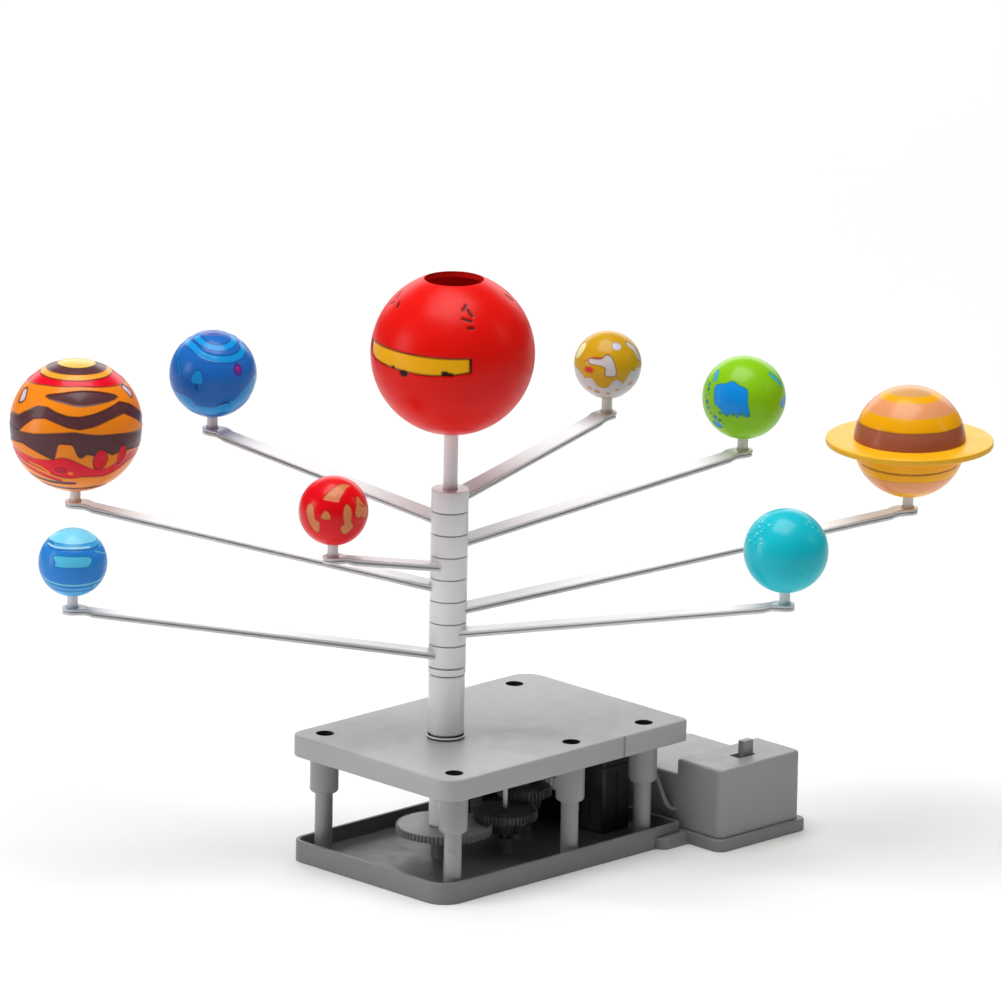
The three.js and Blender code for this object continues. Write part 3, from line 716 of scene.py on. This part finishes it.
def make_arm(planet):
    reach, angle = arm_direction(planet)
    low, high = limits("arm_" + planet)
    base, seam = low[2], 0.1 * MM
    bar, pad_z = make_bar(base, reach)
    bottom, top = base + seam, base + HUB_HEIGHT - seam
    profile = rounded([(0, bottom), (HUB_RADIUS, bottom), (HUB_RADIUS, top), (0, top)], 0.25 * MM, 3)
    hub = lathe("arm_of_" + planet, profile, WHITE, 72)
    pin_low = pad_z + ARM_THICK / 2 - 0.6 * MM
    flare = 0.5 * MM
    pin_profile = rounded([
        (0, pin_low), (PIN_RADIUS + flare, pin_low), (PIN_RADIUS + flare * 0.8, pin_low + 0.8 * MM),
        (PIN_RADIUS, pin_low + 1.4 * MM), (PIN_RADIUS, high[2]), (0, high[2]),
    ], 0.3 * MM, 3)
    pin = lathe("tool", pin_profile, WHITE, 36, (reach, 0))
    bore = rod_tool(SPINDLE_BORE, base - MM, base + HUB_HEIGHT + MM, (0, 0), 48)
    arm = cut(join(hub, bar, pin), bore)
    # Faces beyond the hub take the darker white, painted shade on the bar and pin.
    arm.data.materials.append(ARM_SHADED_WHITE)
    for face in arm.data.polygons:
        if math.hypot(face.center.x, face.center.y) > HUB_RADIUS:
            face.material_index = 1
    arm.data.transform(Matrix.Rotation(angle, 4, "Z"))
    place(arm, "arm_" + planet, "hub_" + planet, "white_plastic")


for planet_name in PLANETS:
    make_arm(planet_name)


# ---------- painted balls ----------
def soft_step(distance, width):
    return np.clip(0.5 - distance / width, 0, 1)


class Canvas:
    """Colour and relief on a ball, addressed by longitude from the facing side and latitude."""

    def __init__(self, points, base, blur):
        lon = np.degrees(np.arctan2(points[:, 1], points[:, 0])) - FACING
        self.lon = (lon + 90) % 180 - 90          # each pattern is printed on both halves
        self.lat = np.degrees(np.arcsin(np.clip(points[:, 2], -1, 1)))
        self.color = np.tile(base, (len(points), 1))
        self.relief = np.zeros(len(points))
        self.blur = blur
        self.points = points

    def lay(self, mask, color, sink=0.0):
        self.color = self.color * (1 - mask[:, None]) + mask[:, None] * np.asarray(color)
        self.relief = self.relief * (1 - mask) - mask * sink

    def fill(self, distance, color, edge, width, sink):
        """Lays a colour where the distance is negative, inside an edging of the given width."""
        if edge is not None:
            self.lay(soft_step(distance - width, self.blur), edge)
        self.lay(soft_step(distance, self.blur), color, sink)

    def wobble(self, amount, seed):
        """Smooth wander of the print's edges, in degrees."""
        x, y, z = (self.points * 4).T
        s = seed * 1.7
        return amount * (np.sin(3 * x + s) + np.sin(3.7 * y - s * 1.3) + np.sin(4.1 * z + s * 0.7)) / 3

    def cap(self, lat, color, edge=None, width=1.2, sink=0.0):
        """Everything above a latitude, or below a negative one."""
        side = 1 if lat > 0 else -1
        distance = side * (lat - self.lat) + self.wobble(0.5, lat)
        self.fill(distance, color, edge, width, sink)

    def band(self, low, high, color, edge=None, width=1.0, sink=0.0):
        centre, half = (low + high) / 2, (high - low) / 2
        distance = np.abs(self.lat - centre + self.wobble(0.4, low)) - half
        self.fill(distance, color, edge, width, sink)

    def seam_band(self, top, bottom, color, edge=None, width=1.0, sink=0.0):
        """Band between two wavy edges, each a list of (longitude, latitude)."""
        distance = np.maximum(self.lat - self.wave(top), self.wave(bottom) - self.lat)
        self.fill(distance, color, edge, width, sink)

    def wave(self, points):
        lon, lat = (np.array(v, float) for v in zip(*points))
        lon = np.concatenate([lon[-1:] - 180, lon, lon[:1] + 180])
        lat = np.concatenate([lat[-1:], lat, lat[:1]])
        raw = np.interp(np.linspace(-90, 90, 361), lon, lat)
        kernel = np.hanning(15)
        smooth = np.convolve(np.concatenate([raw[-8:-1], raw, raw[1:8]]), kernel / kernel.sum(), "valid")
        return np.interp(self.lon, np.linspace(-90, 90, len(smooth)), smooth)

    def flat(self, lon, lat):
        """Distances near a place: x shrinks with latitude so that shapes keep their proportions."""
        shift = (self.lon - lon + 90) % 180 - 90
        return shift * np.cos(np.radians(self.lat)), self.lat - lat

    def spot(self, lon, lat, size, color, edge=None, width=1.2, sink=0.0, squash=1.0):
        x, y = self.flat(lon, lat)
        distance = np.hypot(x, y / squash) - size
        self.fill(distance, color, edge, width, sink)

    def distance_to(self, points, closed):
        """Degrees to a line through the points, negative inside it where it is closed."""
        mid = points[len(points) // 2][0]
        lon = (self.lon - mid + 90) % 180 - 90 + mid
        scale = np.cos(np.radians(np.mean([p[1] for p in points])))
        px, py = lon * scale, self.lat
        best = np.full(len(px), 1e9)
        inside = np.zeros(len(px), bool)
        ends = points[1:] + points[:1] if closed else points[1:]
        for (ax, ay), (bx, by) in zip(points, ends):
            ax, bx = ax * scale, bx * scale
            dx, dy = bx - ax, by - ay
            t = np.clip(((px - ax) * dx + (py - ay) * dy) / max(dx * dx + dy * dy, 1e-9), 0, 1)
            best = np.minimum(best, np.hypot(px - ax - t * dx, py - ay - t * dy))
            if closed and by != ay:
                crosses = ((ay > py) != (by > py)) & (px < dx * (py - ay) / (by - ay) + ax)
                inside ^= crosses
        return np.where(inside, -best, best)

    def patch(self, points, color, edge=None, width=1.3, sink=0.0):
        distance = self.distance_to(curved(points, True), True)
        self.fill(distance, color, edge, width, sink)

    def stroke(self, points, size, color, edge=None, width=1.2, sink=0.0):
        distance = self.distance_to(curved(points, False), False) - size
        self.fill(distance, color, edge, width, sink)


def curved(points, closed, steps=3):
    """Catmull-Rom curve through the points."""
    count = len(points)
    if count < 3:
        return points
    out = []
    for k in range(count if closed else count - 1):
        near = [(i % count) if closed else min(max(i, 0), count - 1) for i in range(k - 1, k + 3)]
        p = [np.array(points[i], float) for i in near]
        for s in range(steps):
            t = s / steps
            out.append(tuple(0.5 * (2 * p[1] + (p[2] - p[0]) * t
                                    + (2 * p[0] - 5 * p[1] + 4 * p[2] - p[3]) * t * t
                                    + (3 * p[1] - p[0] - 3 * p[2] + p[3]) * t ** 3)))
    if not closed:
        out.append(tuple(map(float, points[-1])))
    return out


def paint_jupiter(c):
    brown, red, orange = rgb(92, 54, 58), rgb(235, 8, 42), rgb(250, 138, 22)
    ink = rgb(40, 18, 18)
    c.band(63.5, 75, brown, ink, 0.8, sink=0.3)
    c.cap(73.5, rgb(250, 198, 96), ink, 0.9, 0.1)
    c.band(56.5, 62.5, rgb(252, 168, 52))
    c.seam_band([(-76, 56), (-40, 55.5), (6, 55.5), (51, 56), (87, 57)],
                [(-76, 45), (-40, 48.5), (6, 50.5), (51, 47), (87, 44)], red, ink, 1.1, sink=0.5)
    c.patch([(-33, 38), (-13, 42.5), (7, 45), (30, 43), (51, 36), (25, 32.5), (6, 31), (-10, 33.5)],
            brown, ink, 0.8, sink=0.6)
    crest = [(-90, 6), (-76, 14), (-61, 15), (-47, 23), (-39, 27.5), (-27, 28), (-16, 24), (-5, 21.5),
             (5, 21), (18, 23), (34, 27), (51, 31), (65, 26), (84, 14)]
    trough = [(-90, -1), (-76, -2), (-61, -1), (-47, 11), (-39, 17), (-27, 19), (-16, 16), (-5, 12.5),
              (5, 11), (18, 13), (34, 18), (51, 21), (65, 14), (84, 4)]
    c.seam_band(crest, trough, brown, ink, 0.8, sink=0.6)
    c.seam_band(
        [(-80, 1), (-54, 2), (-37, 3), (-18, 6), (0, 8), (20, 5), (39, 4), (79, 0)],
        [(-80, -10), (-51, -7), (-37, -11), (-20, -17), (-16, -17), (-14, -2), (0, -2), (3, -13),
         (8, -15), (11, -11), (17, -12), (21, -15), (26, -10), (30, -10), (36, -14), (44, -12),
         (55, -12), (78, -14)], brown, ink, 0.8, sink=0.6)
    c.seam_band(
        [(-80, -14), (-60, -17), (-37, -20), (-22, -19), (-10, -15), (-1, -17), (8, -22), (18, -27),
         (34, -28), (48, -20), (60, -16), (78, -18)],
        [(-80, -18), (-60, -24), (-37, -29), (-22, -35), (-10, -38), (-1, -38), (8, -36), (18, -36),
         (34, -37), (48, -32), (60, -24), (78, -22)], red, ink, 0.7, sink=0.5)
    c.stroke([(-74, -25), (-52, -31), (-34, -37), (-16, -42)], 1.8, red, ink, 0.6, sink=0.5)
    c.stroke([(-46, -25), (-34, -28), (-26, -33)], 1.1, orange, None)
    c.spot(-13, -29, 4.2, rgb(200, 10, 60), rgb(150, 5, 30), 0.8, 0.3, 0.7)
    c.spot(-3, -32, 2.0, orange, None, 0.8, 0.2, 0.9)
    c.spot(25, -18, 6.4, red, ink, 0.7, 0.5, 1.5)
    c.spot(48, -16, 4.6, red, ink, 0.7, 0.5, 1.9)
    c.stroke([(-60, -42), (-30, -46), (0, -46)], 1.8, brown, ink, 0.5, sink=0.5)
    c.stroke([(-52, -54), (-2, -58), (50, -55)], 2.0, brown, ink, 0.5, sink=0.5)
    for lon, lat in ((-66, 31), (77, 36)):
        c.patch([(lon - 8, lat + 5), (lon - 2, lat + 7), (lon + 5, lat - 1), (lon - 2, lat - 5),
                 (lon - 5, lat)], rgb(225, 198, 212), ink, 1.8, 0.4)
    c.cap(-72, orange, brown, 1.4)


def paint_venus(c):
    light, outline, dark = rgb(20, 150, 225), rgb(10, 42, 120), rgb(22, 78, 170)
    c.stroke([(-90, 53), (-66, 52), (-44, 50), (-22, 42), (-6, 37), (15, 34), (38, 34), (62, 40), (88, 50)],
             4.6, light, outline, 1.2, sink=0.4)
    c.stroke([(-70, 66), (-40, 62), (-13, 55), (8, 51), (32, 52), (62, 58), (92, 64)], 4.4, light, outline,
             1.2, sink=0.4)
    c.cap(76, dark, outline, 1.2, 0.4)
    for lon, lat in ((-84, 44), (-72, 36), (-62, 24)):
        c.stroke([(lon, lat), (lon + 8, lat - 8), (lon + 14, lat - 18)], 1.2, light, outline, 0.7, 0.3)
    c.patch([(-28, 1), (-27, 11), (-21, 18), (-15, 15), (-12, 1)], light, outline, 0.9, sink=0.4)
    c.stroke([(-21, -1), (-20, -9)], 1.6, rgb(30, 60, 150))
    c.spot(38, 18, 4.6, rgb(120, 45, 150), rgb(60, 50, 150), 2.4, 0.3, 1.3)
    c.spot(38, 19, 2.4, rgb(175, 50, 140), None, 1.0, 0.3, 1.2)
    c.seam_band(
        [(-82, -20), (-60, -19), (-40, -20), (-31, -24), (-28, -35), (2, -36), (14, -31), (24, -28),
         (36, -24), (46, -12), (58, -4), (70, 3), (84, 2)],
        [(-82, -52), (-40, -50), (0, -56), (40, -48), (60, -34), (84, -30)], light, outline, 1.3, 0.4)
    c.stroke([(8, -33), (20, -27), (27, -29)], 1.3, outline)


def paint_mercury(c):
    pale, dim, ink = rgb(205, 198, 200), rgb(150, 112, 60), rgb(70, 34, 20)
    c.spot(21, 47, 7.5, rgb(205, 205, 215), rgb(160, 145, 120), 1.6, 0.3, 0.95)
    c.spot(-34, 3, 7.0, rgb(205, 40, 40), rgb(205, 95, 40), 3.0, 0.2, 0.6)
    c.stroke([(-44, 16), (-30, 24), (-10, 26), (2, 31)], 1.6, rgb(200, 90, 40))
    c.patch([(-36, 22), (-14, 23), (-3, 31), (6, 27), (12, 12), (13, -4), (-4, -4), (-4, 8), (-14, 13),
             (-33, 14)], pale, ink, 1.2, sink=0.5)
    c.seam_band(
        [(-72, 0), (-55, -4), (-44, -14), (-37, -11), (-28, -12), (-20, -26), (-9, -30), (2, -28), (8, -16),
         (16, -11), (24, -16), (30, -22), (36, -8), (44, 3), (52, -2), (60, 4), (74, 0)],
        [(-72, -62), (0, -64), (74, -60)], pale, dim, 1.2, 0.4)
    for lon, lat, size in ((-40, -34, 4), (-24, -40, 4.5), (48, -24, 4), (20, -34, 2.5), (2, -44, 3)):
        c.spot(lon, lat, size, rgb(205, 155, 35), dim, 0.8, 0.3, 0.8)
    c.patch([(58, 52), (66, 50), (78, 36), (76, 14), (66, 18), (62, 34), (52, 44)], pale, ink, 1.0, 0.4)
    c.patch([(-80, 42), (-66, 46), (-58, 36), (-62, 22), (-74, 14), (-84, 24)], rgb(235, 228, 170), dim,
            0.9, 0.3)


def paint_earth(c):
    sea, shore, teal = rgb(18, 150, 240), rgb(20, 128, 120), rgb(25, 135, 140)
    c.patch([(-50, 24), (-44, 29), (-33, 31), (-21, 36), (-10, 31), (1, 27), (4, 22), (4, 6), (7, -8),
             (3, -10), (-3, -7), (-8, -10), (-14, -7), (-22, -10), (-30, -9), (-36, -3), (-44, 1),
             (-47, 10)], sea, shore, 1.0, sink=0.5)
    for k in range(9):
        lon, lat = -36 + 5.2 * k, -10.5 + 1.8 * math.sin(2.3 * k)
        c.spot(lon, lat, 1.7, rgb(25, 160, 215) if k % 2 else teal, shore, 0.6, 0.3)
    edge = [(-66, 24), (-64, 17), (-66, 8), (-62, 0), (-60, -8), (-54, -14), (-46, -19), (-38, -22)]
    for k, (lon, lat) in enumerate(edge):
        c.spot(lon, lat, 2.8 - 0.9 * (k % 3), teal if k % 2 else sea, rgb(15, 95, 80), 0.7, 0.3, 0.9)
        c.spot(lon + 5, lat - 5, 1.5, teal, None, 0.6, 0.3, 0.9)
    c.patch([(-56, -28), (-46, -27), (-38, -33), (-44, -37), (-54, -35)], sea, rgb(15, 90, 70), 1.1, 0.4)
    c.stroke([(-66, 44), (-60, 38), (-58, 34)], 3.4, rgb(70, 180, 215), shore, 0.8, 0.4)
    c.stroke([(58, 42), (65, 34), (70, 26)], 3.8, rgb(70, 190, 190), rgb(90, 180, 110), 1.4, sink=0.4)
    c.patch([(60, -1), (68, 5), (80, 6), (80, -6), (66, -6)], sea, shore, 1.0, 0.4)


def paint_mars(c):
    tan, edge = rgb(216, 128, 78), rgb(165, 8, 12)
    lands = [
        [(-20, 34), (-14, 44), (2, 56), (24, 63), (48, 62), (58, 56), (40, 54), (22, 46), (13, 36), (9, 30),
         (-6, 32)],
        [(-50, 8), (-49, 18), (-44, 22), (-38, 20), (-34, 8), (-31, -2), (-24, -6), (-23, -12), (-26, -24),
         (-33, -25), (-42, -14), (-46, -4)],
        [(-20, 1), (-18, 9), (-14, 14), (-8, 12), (-4, 1)],
        [(17, 8), (20, 20), (26, 25), (32, 17), (33, 6), (31, -5), (36, -12), (33, -20), (24, -28),
         (17, -24), (13, -14), (19, -8)],
        [(40, 6), (42, 14), (46, 22), (50, 32), (57, 34), (62, 24), (70, 16), (80, 4), (72, -4), (60, -4),
         (55, 1), (47, -1)],
        [(-84, -2), (-78, 4), (-70, -6), (-76, -14)],
    ]
    for land in lands:
        c.patch(land, tan, edge, 1.1, 0.5)
    c.stroke([(54, 22), (60, 16), (68, 18)], 0.9, edge)
    for lon, lat in ((-27, 1), (12, -3), (38, 8)):
        c.spot(lon, lat, 1.6, edge, None, 0.6)


def paint_neptune(c):
    cyan, light = rgb(125, 212, 240), rgb(90, 198, 235)
    line = rgb(12, 84, 165)
    c.cap(46, cyan, line, 0.8)
    c.band(35, 44.5, rgb(70, 170, 225))
    c.stroke([(-84, 44), (-60, 36), (-30, 34), (0, 34.5), (40, 35), (80, 38)], 1.0, line, sink=0.5)
    c.stroke([(-70, 40), (-40, 38), (0, 39), (40, 39)], 0.9, rgb(210, 240, 250))
    c.stroke([(-82, 34), (-78, 40), (-60, 44), (-48, 42)], 1.1, line, sink=0.4)
    c.stroke([(50, 30), (66, 24), (84, 18)], 1.4, light, line, 0.6, 0.3)
    c.patch([(-35, 22), (-12, 24), (34, 22), (31, 8), (12, 6), (-28, 6), (-29, 12)], light, line, 1.0, 0.4)
    c.stroke([(-84, -12), (-60, -22), (-30, -27), (0, -28), (30, -27), (60, -24), (84, -20)], 1.7,
             rgb(120, 210, 240), line, 0.9, 0.4)
    c.stroke([(-80, -26), (-50, -34), (-10, -39), (30, -38), (70, -34)], 1.5, light, line, 0.9, 0.4)
    c.spot(52, -31, 3.2, light, line, 0.9, 0.3, 0.6)
    c.cap(-46, rgb(80, 175, 228), line, 0.7)


def paint_uranus(c):
    pale, dark = rgb(120, 218, 222), rgb(18, 92, 112)
    # Brush marks: shallow dents, each with a pale spot of painted highlight and, to its lower right, a dark
    # spot of painted shade.
    for k in range(22):
        lon = -80 + 9 * (k % 5) + 4 * math.sin(k * 2.1)
        lat = 20 + 10 * (k // 5) + 3 * math.sin(k * 3.3)
        c.spot(lon, lat, 1.7 + 0.7 * math.sin(k * 1.7), pale, None, 0.9, 0.3, 0.8)
        c.spot(lon + 3.5, lat - 2.5, 0.9, dark, None, 0.6, 0.4)
    # More brush marks with the same painted highlight and painted shade.
    for lon, lat in ((48, 52), (58, 44), (66, 36), (71, 28), (62, 54)):
        c.spot(lon, lat, 1.9, pale, None, 0.9, 0.3, 0.8)
        c.spot(lon + 3, lat - 2, 0.9, dark, None, 0.6, 0.4)


def paint_saturn(c):
    peach, amber, brown = rgb(240, 160, 108), rgb(252, 176, 8), rgb(172, 98, 74)
    c.cap(66, rgb(222, 165, 105), rgb(236, 190, 40), 1.2)
    c.band(56, 66, amber)
    c.band(37.5, 56, peach, rgb(228, 180, 60), 0.6)
    c.band(22, 37.5, amber)
    c.band(2, 22, brown, rgb(120, 55, 30), 0.7, sink=0.2)
    c.band(-22, 2, amber)
    c.stroke([(-62, -19), (-30, -21.5), (0, -22), (30, -21.5), (62, -19)], 0.9, rgb(105, 55, 15), sink=0.5)
    c.band(-33, -24, amber)
    c.band(-52, -33, peach, brown, 0.5)
    c.cap(-52, amber, rgb(200, 120, 20), 0.6)


PAINT = {
    "mercury": (rgb(206, 158, 22), paint_mercury), "venus": (rgb(32, 108, 196), paint_venus),
    "earth": (rgb(142, 206, 22), paint_earth), "mars": (rgb(228, 10, 24), paint_mars),
    "jupiter": (rgb(250, 140, 30), paint_jupiter), "saturn": (rgb(252, 176, 8), paint_saturn),
    "uranus": (rgb(24, 194, 210), paint_uranus), "neptune": (rgb(42, 132, 216), paint_neptune),
}
RELIEF_DEPTH = 0.32 * MM
COLUMNS, JUPITER_COLUMNS = 288, 440
SOCKET_DEPTH, LIP_WIDTH, LIP_HEIGHT = 7.4 * MM, 0.25 * MM, 0.3 * MM
POLE_GAP = 0.15   # degrees


def sphere_grid(rows, columns, first, last):
    """Rings of a unit sphere between two angles from its top, in degrees."""
    polar = np.radians(np.linspace(first, last, rows))
    t = np.linspace(0, 2 * math.pi, columns, endpoint=False)
    rings = []
    for p in polar:
        rings.append(np.stack([math.sin(p) * np.cos(t), math.sin(p) * np.sin(t), math.cos(p) + 0 * t], 1))
    return rings


def store_paint(mesh, colors):
    layer = mesh.attributes.new("paint", "FLOAT_COLOR", "POINT")
    data = np.ones((len(mesh.vertices), 4), np.float32)
    data[:, :3] = colors
    layer.data.foreach_set("color", data.ravel())


def make_ball(planet):
    radius, centre_z = ball_of(planet)
    base, painter = PAINT[planet]
    columns = JUPITER_COLUMNS if planet == "jupiter" else COLUMNS
    mouth = math.degrees(math.asin(SOCKET / radius))
    points = np.concatenate(sphere_grid(columns // 2, columns, POLE_GAP, 180 - mouth))
    canvas = Canvas(points, base, 1.3 * 360 / columns)
    painter(canvas)
    scale = radius + RELIEF_DEPTH * canvas.relief
    verts = points * scale[:, None]
    inner = verts[-columns:].copy()
    inner[:, :2] *= (SOCKET - LIP_WIDTH) / SOCKET
    inner[:, 2] += LIP_HEIGHT
    deep = inner.copy()
    deep[:, 2] = SOCKET_DEPTH - radius
    verts = np.concatenate([verts, inner, deep])
    colors = np.concatenate([canvas.color, np.tile(base, (2 * columns, 1))])
    loops = [verts[k * columns:(k + 1) * columns] for k in range(len(verts) // columns)]
    loops = [loop + np.array([*middle("planet_" + planet), centre_z]) for loop in loops]
    obj = loft("ball_" + planet, loops, painted("paint_" + planet), 40)
    store_paint(obj.data, colors)
    place(obj, "planet_" + planet, "hub_" + planet, "paint_" + planet)


for planet_name in PLANETS:
    make_ball(planet_name)


def make_saturn_ring():
    low, high = limits("saturn_ring")
    cz, outer = (low[2] + high[2]) / 2, (high[0] - low[0]) / 2
    inner, half = 20.6 * MM, (high[2] - low[2]) / 2
    profile = [
        (inner, cz - half), (outer, cz - half), (outer, cz + half), (inner, cz + half), (inner, cz - half),
    ]
    points = rounded(profile, 0.6 * MM)
    points[-1] = points[0]
    ring = lathe("ring_of_saturn", points, RING, 160, middle("saturn_ring"), 30)
    place(ring, "saturn_ring", "hub_saturn", "ring_amber")


make_saturn_ring()


# ---------- sun ----------
SUN_CENTRE, SUN_WALL, SUN_MOUTH = 200.4 * MM, 2 * MM, 11.3 * MM


def paint_sun(c):
    amber, ink, mark = rgb(246, 176, 12), rgb(30, 8, 4), rgb(105, 16, 14)
    panel = [(-80, 11), (-51, 11), (-28, 10.5), (-9, 10), (13, 10), (12.5, 1.5), (3, 0), (-9, -1),
             (-18, -1.5), (-35, -1), (-53, 0), (-69, 1), (-77, 3)]
    distance = c.distance_to(panel, True)
    c.lay(soft_step(distance - 1.1, 1.0), ink, 0.9)
    c.lay(soft_step(distance, 1.0), amber, 0.9)
    c.stroke([(12.8, 1), (12.8, 9.6)], 0.9, ink, sink=0.9)
    c.stroke([(-84, 3), (-83, 11)], 1.6, ink, sink=0.9)
    for lon, lat, half in ((-36, -3, 2.0), (-46, -0.4, 1.0), (-5, 0, 1.5), (-1, -0.6, 1.2)):
        c.patch([(lon - half * 1.4, lat - half), (lon + half * 1.4, lat - half),
                 (lon + half * 1.4, lat + half), (lon - half * 1.4, lat + half)], ink, sink=0.9)
    scratches = [[(10, 46), (14, 50)], [(15, 46), (18, 41)], [(9, 39), (16, 37)], [(13, 32), (17, 32)],
                 [(-84, 50), (-80, 46)], [(-80, 40), (-76, 42)], [(-66, 44), (-63, 41)],
                 [(80, 50), (84, 44)]]
    for scratch in scratches:
        c.stroke(scratch, 1.2, mark, sink=0.6)


def shell_angles(radius):
    """From the mouth's rim to just short of the foot, in degrees from the top."""
    return math.degrees(math.asin(SUN_MOUTH / radius)), 179.8


def make_sun():
    """Thin shell: painted skin, plain lining, open mouth, closed where it sits on the spindle."""
    low, high = limits("sun")
    radius = (high[0] - low[0]) / 2
    inner_radius = radius - SUN_WALL
    columns, rows, inner_rows = 400, 180, 60
    outer = np.concatenate(sphere_grid(rows, columns, *shell_angles(radius)))
    canvas = Canvas(outer, rgb(232, 20, 12), 1.1)
    paint_sun(canvas)
    skin = outer * (radius + RELIEF_DEPTH * canvas.relief)[:, None]
    lining = sphere_grid(inner_rows, columns, *shell_angles(inner_radius))
    lining = np.concatenate(lining[::-1]) * inner_radius
    verts = np.concatenate([skin, lining]) + np.array([0, 0, SUN_CENTRE])
    total = rows + inner_rows
    pairs = [(k, (k + 1) % total) for k in range(total) if k != rows - 1]
    faces = bridge(columns, pairs) + [disc(columns, rows - 1), disc(columns, rows)]
    sun = mesh_object("sun_shell", verts, faces, painted("sun_red", 0.33, 0.0), 40)
    lining_color = np.tile(rgb(250, 40, 30), (inner_rows * columns, 1))
    store_paint(sun.data, np.concatenate([canvas.color, lining_color]))
    place(sun, "sun", "spindle", "sun_red")


make_sun()


# ---------- stage ----------
def make_stage():
    half = 8.0
    verts = [(-half, -half, 0), (half, -half, 0), (half, half, 0), (-half, half, 0)]
    floor = mesh_object("floor", verts, [(0, 1, 2, 3)], FLOOR)


# Name, place as (towards the camera, to its right, up), width, height and watts.
LIGHTS = (
    ("overhead", (0.15, -0.1, 1.9), 1.4, 1.4, 40),
    ("key", (0.35, -1.5, 0.45), 0.5, 0.9, 6.5),
    ("edge", (0.1, 1.5, 0.9), 0.2, 0.7, 1),
    ("behind", (-1.9, 0, 0.75), 2.6, 1.0, 16),
)
LIGHTS_AIM = Vector((0, 0, 0.12))
SKY_STRENGTH = 0.06


def make_lights():
    front = Vector((BACK.x, BACK.y, 0)).normalized()
    side = Vector((RIGHT.x, RIGHT.y, 0)).normalized()
    up = Vector((0, 0, 1))
    for name, (ahead, aside, height), width, tall, watts in LIGHTS:
        data = bpy.data.lights.new(name, "AREA")
        data.shape = "RECTANGLE"
        data.size, data.size_y = width, tall
        data.energy = watts
        lamp = bpy.data.objects.new(name, data)
        lamp.location = ahead * front + aside * side + height * up
        lamp.rotation_euler = (LIGHTS_AIM - lamp.location).to_track_quat("-Z", "Y").to_euler()
        bpy.context.scene.collection.objects.link(lamp)
    world = bpy.data.worlds.new("studio")
    bpy.context.scene.world = world
    world.use_nodes = True
    sky = world.node_tree.nodes["Background"]
    sky.inputs["Color"].default_value = (1, 1, 1, 1)
    sky.inputs["Strength"].default_value = SKY_STRENGTH


make_stage()
make_lights()
bpy.context.scene.view_settings.view_transform = "Standard"
